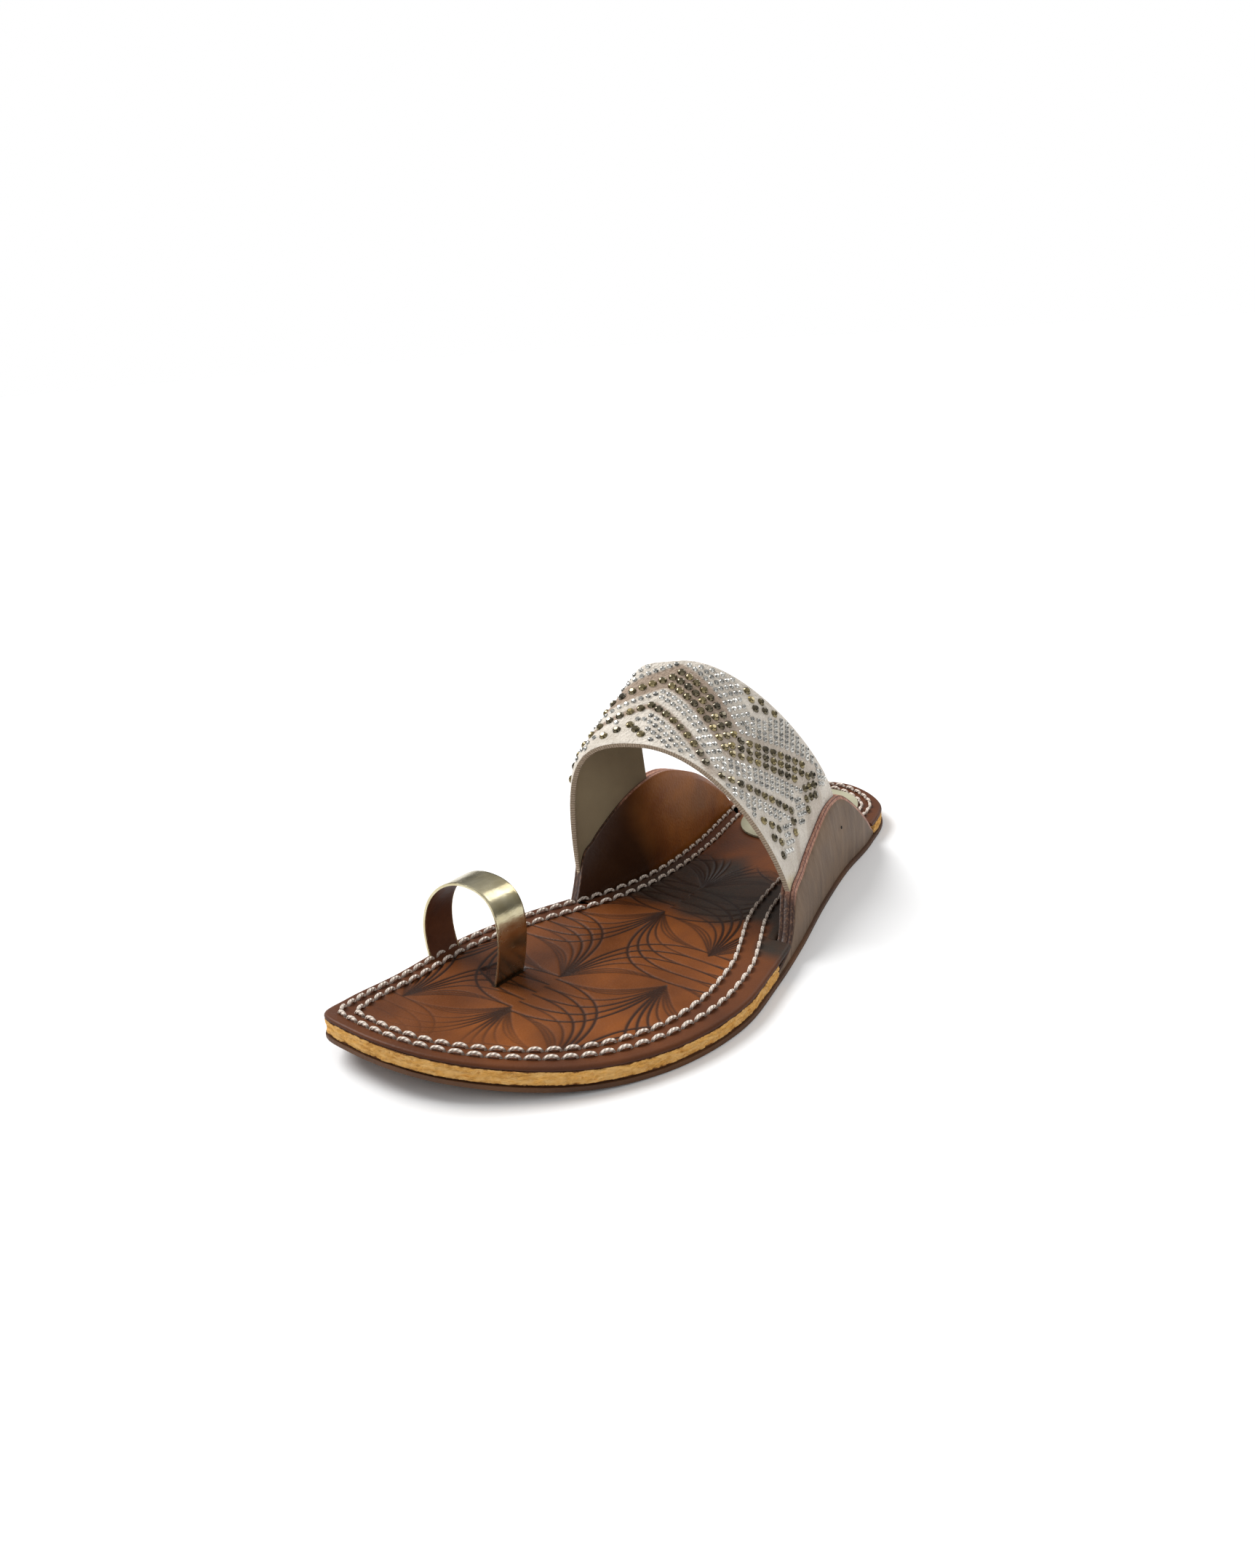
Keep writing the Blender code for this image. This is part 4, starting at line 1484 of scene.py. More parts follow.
@dataclass
class Footbed:
    """The leather that the foot stands on: a rounded board with a tooled panel let into its top."""

    panel_row: float = 1.06
    recess: float = 0.0009
    edge_round: float = 0.0012
    groove_depth: float = 0.00038
    columns: int = 196
    fine_step: float = 0.00045
    coarse_step: float = 0.0016
    hollow_depth: float = 0.0006
    rim_tuck: float = 0.0005
    panel_thickness: float = 0.0004
    wave: float = 0.00006

    def stain_and_shade(self, points: np.ndarray) -> np.ndarray:
        """The dark dyed zone across the ball's rear and under the band's front edge, with painted shade keeping it
        strong on the medial side.

        Args:
            points: points in the footbed's plane.

        Returns:
            How strong the dyed colour and its painted shade are at each point, from 0 to 1.
        """
        x, y = points[:, 0], points[:, 1]
        wave = 0.0030 * np.sin(x / 0.006) + 0.0020 * np.sin(x / 0.0023 + 1)
        front = ramp(y + 0.6 * wave - 0.35 * (x - 0.01).clip(0, 0.02), -0.010, -0.002)
        rear = 1 - ramp(y + wave, 0.028, 0.041)
        # Painted shade: on the medial side the zone keeps six tenths of its strength instead of fading out.
        side = 1 - 0.40 * (1 - ramp(x, -0.030, -0.020))
        keep = EDGE.normals[:, 0] > 0.05
        order = np.argsort(EDGE.points[keep, 1])
        edge = np.interp(y, EDGE.points[keep, 1][order], EDGE.points[keep, 0][order])
        burnish = (1 - ramp(edge - x + wave * 0.4, 0.0080, 0.0105)) * ramp(y, -0.020, -0.012)
        return np.maximum(front * side * 0.96, burnish) * rear

    def boundary(self, line: np.ndarray, ys: np.ndarray) -> tuple[np.ndarray, np.ndarray]:
        """Lowest and highest X of a closed line at stations ys.

        Args:
            line: the closed line.
            ys: the stations.

        Returns:
            The lowest X and the highest X at each station.
        """
        low, high = np.full(len(ys), np.inf), np.full(len(ys), -np.inf)
        for a, b in zip(line[:-1], line[1:]):
            inside = (ys >= min(a[1], b[1])) & (ys <= max(a[1], b[1]))
            if not inside.any() or a[1] == b[1]:
                continue
            x = a[0] + (ys[inside] - a[1]) / (b[1] - a[1]) * (b[0] - a[0])
            low[inside] = np.minimum(low[inside], x)
            high[inside] = np.maximum(high[inside], x)
        return low, high

    def panel_points(self, line: np.ndarray) -> np.ndarray:
        """The panel's grid of points, rows from toe to heel, fine where it is tooled.

        Args:
            line: the panel's rim.

        Returns:
            Rows by columns by three, with Z still 0.
        """
        toe, heel = line[:, 1].min(), line[:, 1].max()
        ends = 0.004 * np.linspace(0.03, 1.0, 16)[:-1] ** 2
        fine = np.arange(toe + 0.004, 0.042, self.fine_step)
        coarse = np.arange(0.042, heel - 0.004, self.coarse_step)
        ys = np.concatenate([toe + ends, fine, coarse, heel - ends[::-1]])
        low, high = self.boundary(line, ys)
        share = np.linspace(0.0, 1.0, self.columns)[None]
        x = low[:, None] * (1 - share) + high[:, None] * share
        return np.stack([x, np.broadcast_to(ys[:, None], x.shape), np.zeros_like(x)], axis=-1)

    def build_panel(self, line: np.ndarray, look: bpy.types.Material) -> None:
        """The tooled panel, its rim tucked down into the board.

        Args:
            line: its rim.
            look: the footbed's material.
        """
        points = self.panel_points(line)
        flat = points[:, :, :2].reshape(-1, 2)
        groove = Tooling().grooves(flat)
        hollow = self.cut(flat)[0]
        rim = np.zeros(points.shape[:2])
        rim[:1] = rim[-1:] = 1.0
        rim[:, :1] = rim[:, -1:] = 1.0
        waves = self.wave * np.sin(flat[:, 0] / 0.0031 + 2 * np.sin(flat[:, 1] / 0.0057))
        height = SOLE.footbed_top + SOLE.top_lift(flat[:, 1]) + waves
        height -= self.groove_depth * groove + self.hollow_depth * hollow + self.rim_tuck * rim.reshape(-1)
        points[:, :, 2] = height.reshape(points.shape[:2])
        below = points[:, [-1, 0]] - (0.0, 0.0, self.panel_thickness)
        panel = lofted("tooled_panel", np.concatenate([points, below], axis=1))
        co = np.array([v.co[:2] for v in panel.data.vertices])
        # The toe ring's foot slits take the tooling's dark colour as painted shade.
        mark(panel, "groove", np.maximum(Tooling().grooves(co), 0.8 * self.cut(co)[1]))
        mark(panel, "stain_and_shade", self.stain_and_shade(co))
        # The hollow beside the ring's lateral foot and the foot slits take the margin's dark colour as painted
        # shade.
        mark(panel, "margin", 0.12 + 0.30 * ramp(np.abs(co[:, 1] + 0.03), 0.06, 0.10) + 0.6 * self.cut(co)[0])
        dress(panel, look)
        shade(panel, math.radians(70))
        finish_piece(panel, "footbed_leather")

    def cut(self, points: np.ndarray) -> tuple[np.ndarray, np.ndarray]:
        """The hollow beside the toe ring's lateral foot and its dark outline, each from 0 to 1.

        Args:
            points: points in the footbed's plane.

        Returns:
            The hollow and the outline at each point.
        """
        corners = np.array([(-0.0298, -0.0704), (-0.0180, -0.0752), (-0.0176, -0.0622), (-0.0262, -0.0598)])
        inside = np.full(len(points), np.inf)
        for a, b in zip(corners, np.roll(corners, -1, axis=0)):
            along_edge = (b - a) / np.linalg.norm(b - a)
            inward = np.array([-along_edge[1], along_edge[0]])
            inside = np.minimum(inside, (points - a) @ inward)
        feet = np.zeros(len(points))
        for x in (RING.lateral_x, RING.lateral_x - RING.foot_span):
            dx = np.abs(points[:, 0] - x) / 0.0011
            dy = np.abs(points[:, 1] - RING.middle) / (RING.width / 2 + 0.0008)
            feet = np.maximum(feet, 1 - ramp(np.maximum(dx, dy), 0.7, 1.2))
        outline = np.exp(-((inside / 0.00045) ** 2))
        return np.maximum(ramp(inside, -0.0002, 0.0009), feet), np.maximum(outline, feet)

    def build_board(self, line: np.ndarray, look: bpy.types.Material) -> None:
        """The board: its raw side, rounded top edge, the margin with the stitches, and the recess.

        Args:
            line: the panel's rim.
            look: the footbed's material.
        """
        inset = np.maximum(SOLE.footbed_setback, notch(EDGE, EAR_ROOM, SOLE.footbed_bottom))
        top = SOLE.footbed_top
        inner = line[:-1]
        keys = np.linspace(0, len(inner), OUTLINE_COUNT, endpoint=False)
        inner = np.column_stack([np.interp(keys, np.arange(len(line)), line[:, k]) for k in (0, 1)])
        start = np.argmin(np.linalg.norm(inner - EDGE.inset(inset)[0], axis=1))
        inner = np.roll(inner, -start, axis=0)
        levels = [(EDGE.inset(inset + 0.004), SOLE.footbed_bottom), (EDGE.inset(inset), SOLE.footbed_bottom)]
        levels.append((EDGE.inset(inset), top - self.edge_round))
        for turn in np.radians((22, 45, 67, 90)):
            step = inset + self.edge_round * (1 - math.cos(turn))
            levels.append((EDGE.inset(step), top - self.edge_round * (1 - math.sin(turn))))
        outer = EDGE.inset(inset + self.edge_round)
        for share in (0.12, 0.3, 0.5, 0.7, 0.88, 1.0):
            levels.append((outer * (1 - share) + inner * share, top))
        levels.append((inner * 1.0, top - self.recess))
        loops = [np.column_stack([loop, np.full(len(loop), z)]) for loop, z in levels]
        board = lofted("footbed_board", loops)
        curl(board)
        co = np.array([v.co for v in board.data.vertices])
        flat = co[:, :2]
        count = len(co)
        mark(board, "groove", np.zeros(count))
        mark(board, "stain_and_shade", self.stain_and_shade(flat))
        rim = 1 - ramp(co[:, 2] - SOLE.top_lift(co[:, 1]), top - 0.0012, top + 0.0001)
        mark(board, "margin", np.maximum(0.60, rim))
        dress(board, look)
        shade(board)
        finish_piece(board, "footbed_leather", "footbed")

    def build(self, look: bpy.types.Material) -> None:
        """Builds both pieces.

        Args:
            look: the footbed's material.
        """
        line = Stitching().row(self.panel_row)
        self.build_board(line, look)
        self.build_panel(line, look)


@dataclass
class Midsole:
    """The raw-edged middle leather, its side roughed up by hand."""

    levels: int = 9
    roughness: float = 0.00030

    def build(self, look: bpy.types.Material) -> None:
        """A loft with a fibrous side, stepped in beside the ears.

        Args:
            look: the raw edge's material.
        """
        random = np.random.default_rng(SEED)
        inset = np.maximum(SOLE.midsole_setback, notch(EDGE, EAR_ROOM, SOLE.midsole_bottom))
        loops = []
        for k, z in enumerate(np.linspace(0.0, SOLE.midsole, self.levels)):
            rough = random.normal(0.0, 1.0, OUTLINE_COUNT)
            slow = np.convolve(np.tile(rough, 3), np.ones(9) / 9, "same")[OUTLINE_COUNT : 2 * OUTLINE_COUNT]
            share = 0.4 if k in (0, self.levels - 1) else 1.0
            inward = inset + (rough * 0.4 + slow * 1.2) * self.roughness * share
            inward = np.maximum(inward, inset - 0.0002)
            loop = EDGE.inset(inward)
            loops.append(np.column_stack([loop, np.full(len(loop), SOLE.midsole_bottom + z)]))
        piece = lofted("midsole_raw", loops)
        level = np.array([v.co.z for v in piece.data.vertices]) - SOLE.midsole_bottom
        mark(piece, "rim", 1 - ramp(np.minimum(level, SOLE.midsole - level), 0.0, 0.00055))
        curl(piece)
        dress(piece, look)
        shade(piece, math.radians(60))
        finish_piece(piece, "midsole_leather", "midsole")


@dataclass
class EarLeather:
    """An ear's leather: a fine version of its solid with rounded lips and the seams of its layers."""

    form: EarForm
    name: str
    node: str
    stations: int = 130
    rows: int = 14
    raw_strip: float = 0.0014

    def section(self, y: float) -> tuple[list[np.ndarray], list[float], list[float], list[float]]:
        """A section's points with, for each, how much it is inner side, raw edge and seam.

        Args:
            y: the section's station.

        Returns:
            The points, and the three shares for each of them.
        """
        form = self.form
        top = form.profile(y)[0]
        bottom = SOLE.midsole_bottom
        lip = min(0.00035, (top - bottom) / 6)
        t = form.thickness
        seam = lip * 0.9
        first, second = form.layer + 0.00015, t - form.layer - 0.00015
        strip = min(self.raw_strip, (top - bottom) / 4)
        spots = [(0.0, z, 0, 0, 0) for z in np.linspace(bottom, top - strip - 0.0002, self.rows)]
        spots += [(0.00012, top - strip, 0, 1, 0), (0.00012, top - 1.8 * lip, 0, 1, 0)]
        spots += [(0.3 * lip, top - lip, 0, 1, 0.9), (0.6 * lip, top - 0.3 * lip, 0, 1, 0), (lip, top, 0, 1, 0)]
        spots += [(first - lip, top, 0, 1, 0), (first, top - seam, 0, 1, 1), (first + lip, top, 0, 1, 0)]
        spots += [(second - lip, top, 1, 1, 0), (second, top - seam, 1, 1, 1), (second + lip, top, 1, 1, 0)]
        spots += [(t - lip, top, 1, 1, 0), (t - 0.3 * lip, top - 0.3 * lip, 1, 0.7, 0)]
        spots += [(t, z, 1, 0, 0) for z in np.linspace(top - lip, bottom + form.layer, self.rows)]
        spots += [(t + 0.001, bottom + form.layer, 1, 0, 0), (t + 0.001, bottom, 1, 0, 0)]
        points = form.points(y, [(depth, z) for depth, z, *_ in spots])
        inner, raw, seams = ([spot[k] for spot in spots] for k in (2, 3, 4))
        return points, inner, raw, seams

    def build(self, look: bpy.types.Material) -> None:
        """Lofts the sections and marks their parts.

        Args:
            look: the ear's material.
        """
        share = 0.5 - 0.5 * np.cos(np.linspace(0.0, math.pi, self.stations))
        share = 0.5 * share + 0.5 * np.linspace(0.0, 1.0, self.stations)
        ys = self.form.front + share * self.form.length
        sections = [self.section(y) for y in ys]
        piece = lofted(self.name, [np.array(s[0]) for s in sections])
        co = np.array([v.co for v in piece.data.vertices])
        table = np.vstack([np.array(s[0]) for s in sections])
        marks = [np.concatenate([s[k] for s in sections]) for k in (1, 2, 3)]
        nearest = self.match(co, table)
        for name, values in zip(("inner", "raw", "seam"), marks):
            mark(piece, name, values[nearest])
        # Painted shade on the inside: darkest at the front, where the band keeps light off, and a little towards the
        # foot.
        front = 1 - ramp(co[:, 1], self.form.front + 0.018, self.form.front + 0.050)
        low = 1 - ramp(co[:, 2], 0.008, 0.030)
        mark(piece, "shade", np.clip(front + 0.3 * low, 0.0, 1.0) * 0.93)
        # The raw edge's front, darkened as burnish and as painted shade beside the band.
        mark(piece, "front", 1 - ramp(co[:, 1], self.form.front + 0.019, self.form.front + 0.025))
        dress(piece, look)
        shade(piece, math.radians(45))
        finish_piece(piece, "ear_leather", self.node)

    def pinhole(self, look: bpy.types.Material, y: float, z: float, radius: float = 0.00055) -> None:
        """A small hole through the outer leather, shown as a dark cylinder primitive, nearly flush: painted shade.

        Args:
            look: the hole's material.
            y: its station.
            z: its height.
            radius: its radius.
        """
        outer, deeper, higher = self.form.points(y, ((0.0, z), (0.001, z), (0.0, z + 0.001)))
        ahead = self.form.points(y + 0.001, ((0.0, z),))[0]
        normal = Vector(np.cross(ahead - outer, higher - outer) * self.form.side.value).normalized()
        deselect()
        bpy.ops.mesh.primitive_cylinder_add(vertices=14, radius=radius, depth=0.0004, location=outer,
                                            rotation=normal.to_track_quat("Z", "Y").to_euler())
        hole = bpy.context.object
        hole.name = self.name + "_pinhole"
        bpy.ops.object.transform_apply(location=True, rotation=True, scale=True)
        dress(hole, look)
        finish_piece(hole, "ear_leather")

    def match(self, points: np.ndarray, table: np.ndarray) -> np.ndarray:
        """The nearest table row for each point, found by its rounded place.

        Args:
            points: the finished mesh's points.
            table: the sections' points.

        Returns:
            A row number for each point.
        """
        known = {tuple(np.round(p * 1e6).astype(int)): i for i, p in enumerate(table)}
        found = [known.get(tuple(np.round(p * 1e6).astype(int)), -1) for p in points]
        missing = [i for i, k in enumerate(found) if k < 0]
        for i in missing:
            found[i] = int(np.argmin(((table - points[i]) ** 2).sum(1)))
        return np.array(found)


class StoneField:
    """The places of the stones on the band's outer face: none off the band, and none on another."""

    def __init__(self, middle: np.ndarray, side_margin: float, margin: tuple[float, float]) -> None:
        """Reads the face.

        Args:
            middle: the band's free middle surface, steps by columns.
            side_margin: bare share at each end.
            margin: lowest and highest share across.
        """
        self.normal = surface_normals(middle)
        self.outer = middle + self.normal * BAND.thickness / 2
        self.side_margin = side_margin
        self.margin = margin
        self.taken: list[tuple[np.ndarray, float]] = []
        self.found: dict[Stone, list[Matrix]] = {kind: [] for kind in Stone}
        self.random = np.random.default_rng(SEED)

    def read(self, table: np.ndarray, u: float, v: float) -> np.ndarray:
        """A table's value at shares u and v.

        Args:
            table: steps by columns of values.
            u: share from ear to ear.
            v: share across.

        Returns:
            The value between the nearest four.
        """
        a, b = u * (table.shape[0] - 1), v * (table.shape[1] - 1)
        i, j = min(int(a), table.shape[0] - 2), min(int(b), table.shape[1] - 2)
        s, t = a - i, b - j
        near = table[i, j] * (1 - s) + table[i + 1, j] * s
        far = table[i, j + 1] * (1 - s) + table[i + 1, j + 1] * s
        return near * (1 - t) + far * t

    def lay(self, kind: Stone, u: float, v: float) -> None:
        """Adds a stone, unless it is off the band or on another one.

        Args:
            kind: which stone.
            u: share from ear to ear.
            v: share across.
        """
        if not (self.side_margin < u < 1 - self.side_margin and self.margin[0] < v < self.margin[1]):
            return
        point = self.read(self.outer, u, v)
        radius = kind.value[0] / 2
        for other, size in self.taken:
            room = 0.93 * (radius + size) if size == radius else radius + size + SOLE.gap
            if np.linalg.norm(point - other) < room:
                return
        self.taken.append((point, radius))
        facing = self.read(self.normal, u, v)
        turn = self.random.random() * 2 * math.pi
        tilt = self.random.normal(0.0, 0.04, 3)
        self.found[kind].append(place_on(point, np.array([math.cos(turn), math.sin(turn), 0.2]), facing + tilt))


@dataclass
class InstepBand:
    """The suede band with its lining, cut edges and stones."""

    columns: int = 49
    steps: int = 150
    peaks: tuple = (0.100, 0.340)
    middle: float = 0.580
    swing: float = 0.200
    margin: tuple = (0.035, 0.965)
    side_margin: float = 0.042
    gold_step: float = 0.00335
    clear_step: float = 0.00226
    bare: tuple = (0.0040, 0.0033)
    single: float = -0.345

    def surface(self) -> np.ndarray:
        """Free middle surface, steps by columns."""
        vs = np.linspace(0.0, 1.0, self.columns)
        return np.array([BAND.column(v, self.steps)[1] for v in vs]).transpose(1, 0, 2)

    def build_strap(self, suede: bpy.types.Material, edge: bpy.types.Material, lining: bpy.types.Material) -> None:
        """The strap: a grid on the middle surface, thickened, its rim rounded, its inside lined.

        Args:
            suede: the outer face's material.
            edge: the cut edge's.
            lining: the inner face's.
        """
        vs = np.linspace(0.0, 1.0, self.columns)
        lines = []
        for v in vs:
            low, free, far = BAND.column(v, self.steps)
            lines.append(np.vstack([low, (low + free[0]) / 2, free, (far + free[-1]) / 2, far]))
        strap = grid_piece("instep_strap", np.array(lines).transpose(1, 0, 2))
        u = np.clip((np.arange(len(lines[0])) - 2) / (self.steps - 1), 0.0, 1.0)[:, None]
        offset = vs[None] - self.zigzag(u)
        stripe = ramp(offset, -0.150, -0.125) * (1 - ramp(offset, 0.150, 0.190))
        single = 1 - ramp(np.abs(offset + 0.345), 0.030, 0.055)
        # Glue tint along the stone rows; the rise towards the medial side is painted shade.
        mark(strap, "glue_and_shade", np.maximum(stripe, single) * (0.30 + 0.55 * ramp(u, 0.25, 0.45)))
        mark(strap, "yellowed", (1 - ramp(u + 0.20 * vs[None], 0.005, 0.045)) * 0.7)
        middle = strap.data.polygons[len(strap.data.polygons) // 2]
        if middle.normal.z < 0:
            edit(strap, lambda: bpy.ops.mesh.flip_normals())
        dress(strap, suede, edge, lining)
        apply_modifier(strap, "SOLIDIFY", thickness=BAND.thickness, offset=0.0, use_even_offset=True,
                       material_offset=2, material_offset_rim=1)
        apply_modifier(strap, "BEVEL", width=0.0003, segments=2, limit_method="ANGLE", angle_limit=math.radians(50))
        shade(strap)
        finish_piece(strap, "band_suede", "instep_band")

    def zigzag(self, u: np.ndarray) -> np.ndarray:
        """The gold stripe's middle: share across the band at a share u from ear to ear.

        Args:
            u: share from ear to ear.

        Returns:
            Share across.
        """
        peak, valley = self.peaks
        half = valley - peak
        phase = np.abs(((u - peak) / half) % 2 - 1)
        return self.middle + self.swing * (2 * phase - 1)

    def rows(self) -> list[tuple[Stone, float, float, float]]:
        """The zigzag rows of stones.

        Returns:
            For each, its kind, share across from the gold stripe's middle, metres beside that, and
            shift along in steps.
        """
        gold = [(Stone.GOLD, 0.0, k * self.gold_step, 0.5 * (k % 2)) for k in (0, 1, -1)]
        gold.append((Stone.GOLD, self.single, 0.0, 0.0))
        starts = ((0.0, self.gold_step + self.bare[0], 1, 13), (0.0, -self.gold_step - self.bare[1], -1, 4))
        clear = []
        for share, start, way, count in (*starts, (self.single, -self.bare[1], -1, 4)):
            for k in range(count):
                clear.append((Stone.CLEAR, share, start + way * k * self.clear_step, 0.5 * (k % 2)))
        return gold + clear

    def clusters(self) -> list[tuple[float, float]]:
        """The gold triangles: one in each notch of the zigzag, at the front edge and at the rear edge.

        Returns:
            The shares u and v of each stone.
        """
        peak, valley = self.peaks
        spots = []
        for turn in range(2):
            for start, tip, down in ((peak + 0.015, 0.205, -1), (valley, 0.830, 1)):
                u = start + turn * 2 * (valley - peak)
                for row in range(3):
                    for k in range(row + 1):
                        spots.append((u + (k - row / 2) * 0.050, tip + down * row * 0.052))
        return spots

    def build_stones(self, looks: dict[Stone, bpy.types.Material]) -> None:
        """Lays the stones on the band's outer face.

        Args:
            looks: the material of each kind of stone.
        """
        field = StoneField(self.surface(), self.side_margin, self.margin)
        for u, v in self.clusters():
            field.lay(Stone.GOLD, u, v)
        half = self.peaks[1] - self.peaks[0]
        wide = np.linalg.norm(np.diff(field.outer, axis=1), axis=2).sum(1)
        steep = 2 * self.swing / half * wide / along(field.outer[:, self.columns // 2])[-1]
        per_metre = np.hypot(1.0, steep) / wide
        spots = np.linspace(0.0, 1.0, self.steps)
        for kind, share, beside_it, shift in self.rows():
            for turn in range(-1, 4):
                start = self.peaks[0] + turn * half
                us = np.clip(start + np.linspace(0.0, half, 40), 0.0, 1.0)
                length = along(np.array([field.read(field.outer, u, float(self.zigzag(u))) for u in us]))[-1]
                whole = length / max(float(us[-1] - us[0]), 0.02) * half
                count = round(whole / kind.value[1])
                for k in range(count):
                    u = start + (k + shift) / count * half
                    offset = share + beside_it * float(np.interp(u, spots, per_metre))
                    field.lay(kind, u, float(self.zigzag(np.array(u)) + offset))
        for kind, name in ((Stone.GOLD, "stones_gold"), (Stone.CLEAR, "stones_clear")):
            stones = scatter(name, self.stone(kind), field.found[kind])
            dress(stones, looks[kind])
            finish_piece(stones, "band_suede")
            log.info("%s: %d stones", name, len(field.found[kind]))

    def stone(self, kind: Stone) -> bpy.types.Object:
        """One faceted flat-backed stone: a cone frustum with its upper rim cut.

        Args:
            kind: which stone.

        Returns:
            The stone at the origin.
        """
        radius = kind.value[0] / 2
        deselect()
        bpy.ops.mesh.primitive_cone_add(vertices=9, radius1=radius, radius2=radius * 0.58, depth=radius * 0.62,
                                        location=(0.0, 0.0, radius * 0.26))
        gem = bpy.context.object
        bpy.ops.object.transform_apply(location=True, rotation=True, scale=True)
        cut = radius * 0.16
        apply_modifier(gem, "BEVEL", width=cut, segments=1, limit_method="ANGLE", angle_limit=math.radians(30))
        return gem


@dataclass
class ToeRing:
    """The toe ring: gold foil outside with a folded rim, brown leather inside."""

    steps: int = 110
    foil: float = 0.00045
    lining: float = 0.00040
    rim: float = 0.0007

    def skin(
        self, name: str, low: float, high: float, columns: int, depth: float, thickness: float
    ) -> bpy.types.Object:
        """A strip of one layer: from share low to high across, at a depth from the middle surface.

        Args:
            name: the piece's name.
            low: share across where it starts.
            high: share across where it ends.
            columns: points across.
            depth: its distance outward from the middle surface.
            thickness: its own thickness.

        Returns:
            The new strip.
        """
        vs = np.linspace(low, high, columns)
        points = np.array([RING.line(v, self.steps) for v in vs]).transpose(1, 0, 2)
        strip = grid_piece(name, points + surface_normals(points) * depth)
        apply_modifier(strip, "SOLIDIFY", thickness=thickness, offset=0.0, use_even_offset=True)
        edit(strip, lambda: bpy.ops.mesh.normals_make_consistent(inside=False))
        apply_modifier(strip, "BEVEL", width=thickness * 0.35, segments=2, limit_method="ANGLE",
                       angle_limit=math.radians(50))
        return strip

    def build(self, foil: bpy.types.Material, lining: bpy.types.Material) -> None:
        """Builds the foil, its two folded rims and the lining.

        Args:
            foil: the outside's material.
            lining: the inside's.
        """
        outside = self.skin("ring_foil_strip", 0.0, 1.0, 15, (RING.thickness - self.foil) / 2, self.foil)
        dress(outside, foil)
        shade(outside)
        finish_piece(outside, "ring_foil", "toe_ring")
        share = self.rim / RING.width
        for name, low, high in (("ring_rim_front", 0.0, share), ("ring_rim_rear", 1 - share, 1.0)):
            rim = self.skin(name, low, high, 3, -0.00003, RING.thickness * 1.02)
            dress(rim, foil)
            shade(rim)
            finish_piece(rim, "ring_foil")
        inside = self.skin("ring_lining_strip", 0.035, 0.965, 9, -(RING.thickness - self.lining) / 2, self.lining)
        dress(inside, lining)
        shade(inside)
        finish_piece(inside, "ring_foil")


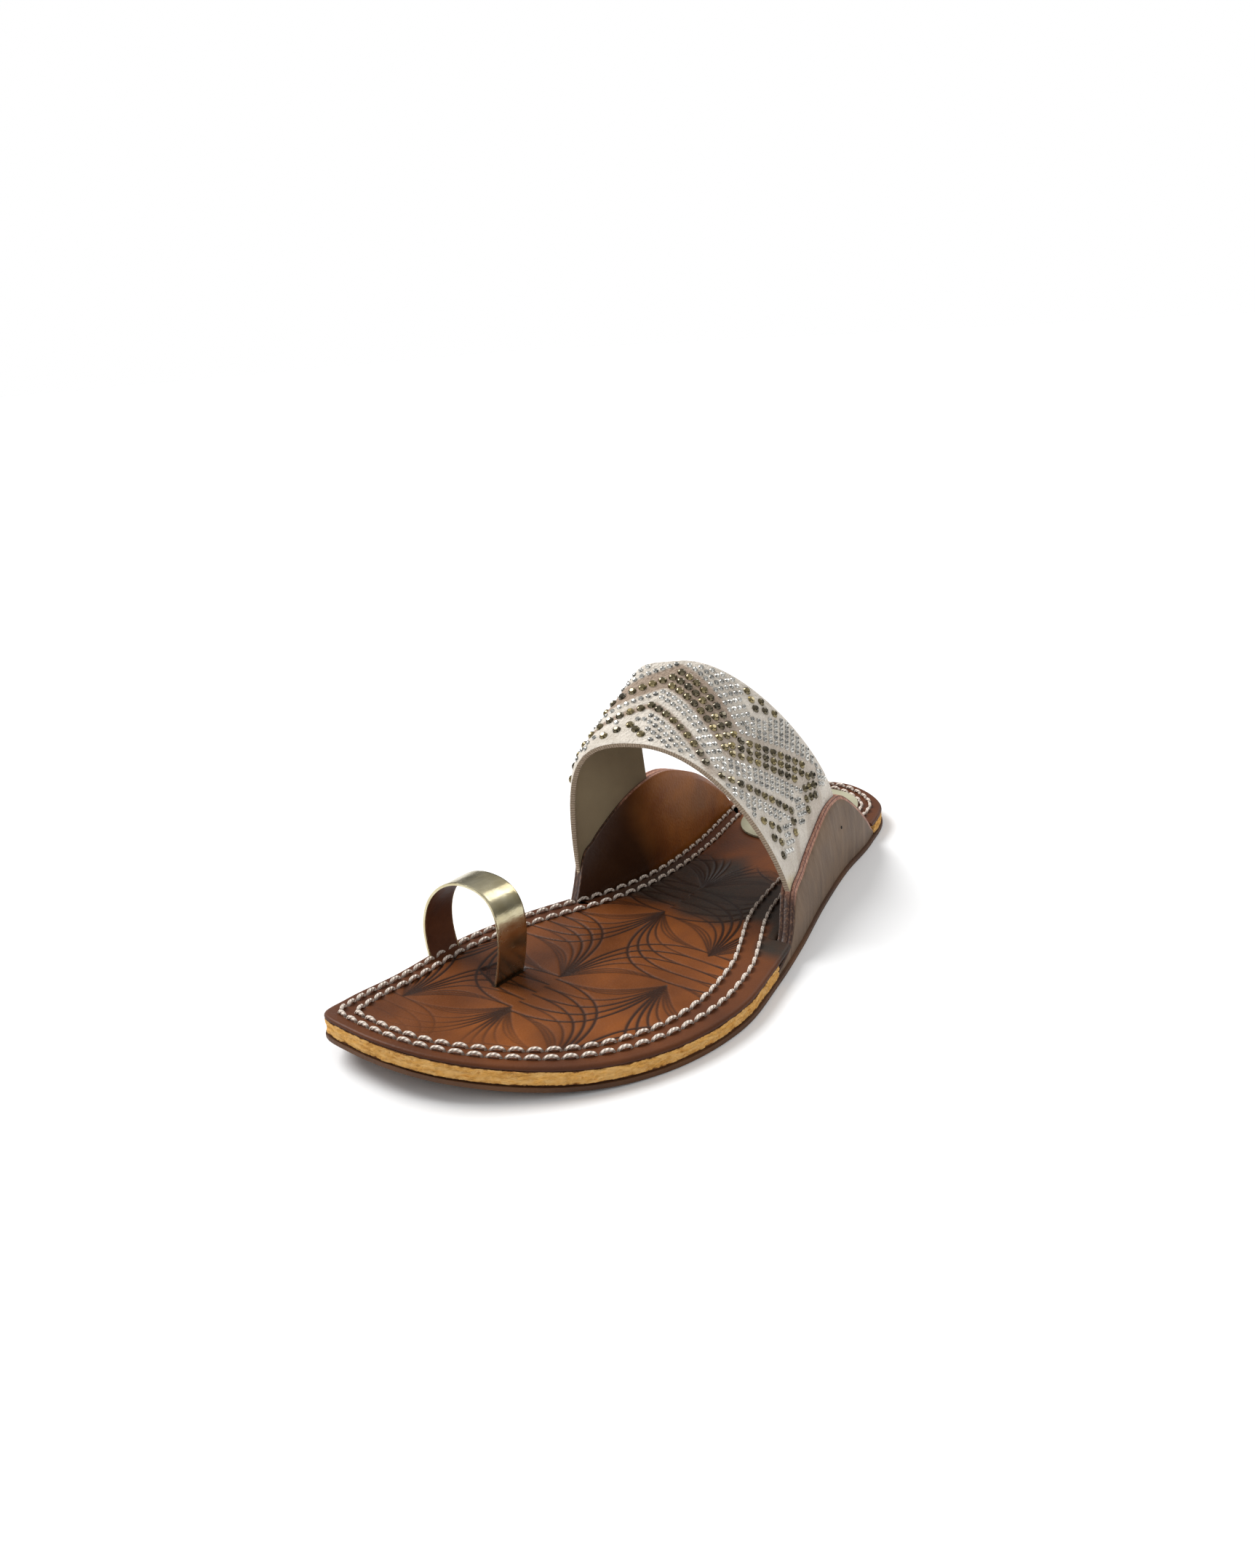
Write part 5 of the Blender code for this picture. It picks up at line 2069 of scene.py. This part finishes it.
@dataclass
class Studio:
    """Floor, lights and camera."""

    camera_at: tuple = (0.22910629, -0.29377226, 0.19220659)
    right: tuple = (0.7708246, 0.63369113, -0.06530691)
    up: tuple = (-0.17727661, 0.31183948, 0.93345013)
    back: tuple = (0.61188434, -0.70794893, 0.35271215)
    lens: float = 35.478
    sensor: float = 36.0
    floor_size: float = 14.0
    sky: tuple = (0.10, 0.62)
    lights: tuple = (
        ("key", "SUN", (-0.66, -0.10, 0.74), (0.0, 0.0, 0.0), 0.62, 3.1),
        ("fill", "AREA", (0.75, -0.45, 0.55), (0.0, 0.0, 0.03), 0.6, 0.9),
        ("rear", "AREA", (0.1, 0.8, 0.6), (0.0, 0.0, 0.04), 0.5, 2.0),
    )

    def build(self) -> None:
        """Builds the set and makes the camera active."""
        deselect()
        bpy.ops.mesh.primitive_plane_add(size=self.floor_size, location=(0.0, 0.0, -0.0002))
        floor = bpy.context.object
        floor.name = "floor"
        paint, _, shader = new_material("floor_pale")
        shader.inputs["Base Color"].default_value = (0.93, 0.93, 0.93, 1.0)
        shader.inputs["Roughness"].default_value = 0.9
        floor.data.materials.append(paint)
        for lamp in self.lights:
            self.light(*lamp)
        world = bpy.data.worlds.new("studio")
        world.use_nodes = True
        graph = Graph(world.node_tree)
        seen = graph.node("LightPath").outputs["Is Camera Ray"]
        back = world.node_tree.nodes["Background"]
        back.inputs[0].default_value = (1.0, 1.0, 1.0, 1.0)
        direction = graph.node("TexCoord").outputs["Generated"]
        upward = graph.node("SeparateXYZ", {0: direction}).outputs[2]
        ceiling = graph.spread(upward, 0.05, 0.75, self.sky)
        graph.tree.links.new(graph.spread(seen, 0.0, 1.0, (ceiling, 1.0)), back.inputs[1])
        bpy.context.scene.world = world
        bpy.context.scene.view_settings.view_transform = "Standard"
        data = bpy.data.cameras.new("camera")
        data.lens = self.lens
        data.sensor_width = self.sensor
        data.sensor_fit = "HORIZONTAL"
        data.clip_start = 0.01
        camera = bpy.data.objects.new("camera", data)
        bpy.context.scene.collection.objects.link(camera)
        turn = Matrix((self.right, self.up, self.back)).transposed().to_4x4()
        camera.matrix_world = Matrix.Translation(self.camera_at) @ turn
        bpy.context.scene.camera = camera

    def light(self, name: str, kind: str, at: tuple, aim: tuple, size: float, power: float) -> None:
        """A soft light at a place, turned to an aim.

        Args:
            name: the light's name.
            kind: SUN or AREA.
            at: its place.
            aim: the point that it shines at.
            size: a square's side, or the sun's angle.
            power: its strength.
        """
        data = bpy.data.lights.new(name, kind)
        data.energy = power
        if kind == "SUN":
            data.angle = size
        else:
            data.size = size
        lamp = bpy.data.objects.new(name, data)
        bpy.context.scene.collection.objects.link(lamp)
        lamp.location = at
        lamp.rotation_euler = (Vector(aim) - Vector(at)).to_track_quat("-Z", "Y").to_euler()


def dress_solids() -> None:
    """Gives the outsole and the heel sock, whose shapes are right, their finishes."""
    for node, leather in (("outsole", SOLE_BROWN), ("heel_sock", SOCK)):
        dress(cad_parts[node], leather.build())


def main() -> None:
    """Builds the shoe's pieces in order."""
    logging.basicConfig(level=logging.INFO, format="%(message)s")
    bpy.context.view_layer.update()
    Studio().build()
    dress_solids()
    Footbed().build(CHESTNUT.build())
    Midsole().build(TAN_EDGE.build())
    Stitching().build(THREAD.build())
    ears = EAR.build()
    lateral = EarLeather(LATERAL_EAR, "ear_lateral_leather", "ear_lateral")
    lateral.build(ears)
    lateral.pinhole(HOLE_SHADE.build(), 0.0607, 0.018)
    EarLeather(MEDIAL_EAR, "ear_medial_leather", "ear_medial").build(ears)
    band = InstepBand()
    band.build_strap(SUEDE.build(), CUT_EDGE.build(), LINING.build())
    band.build_stones({Stone.GOLD: GOLD_GLASS.build(), Stone.CLEAR: CLEAR_GLASS.build()})
    ToeRing().build(Foil().build(), RING_LINING.build())


if __name__ == "__main__":
    main()
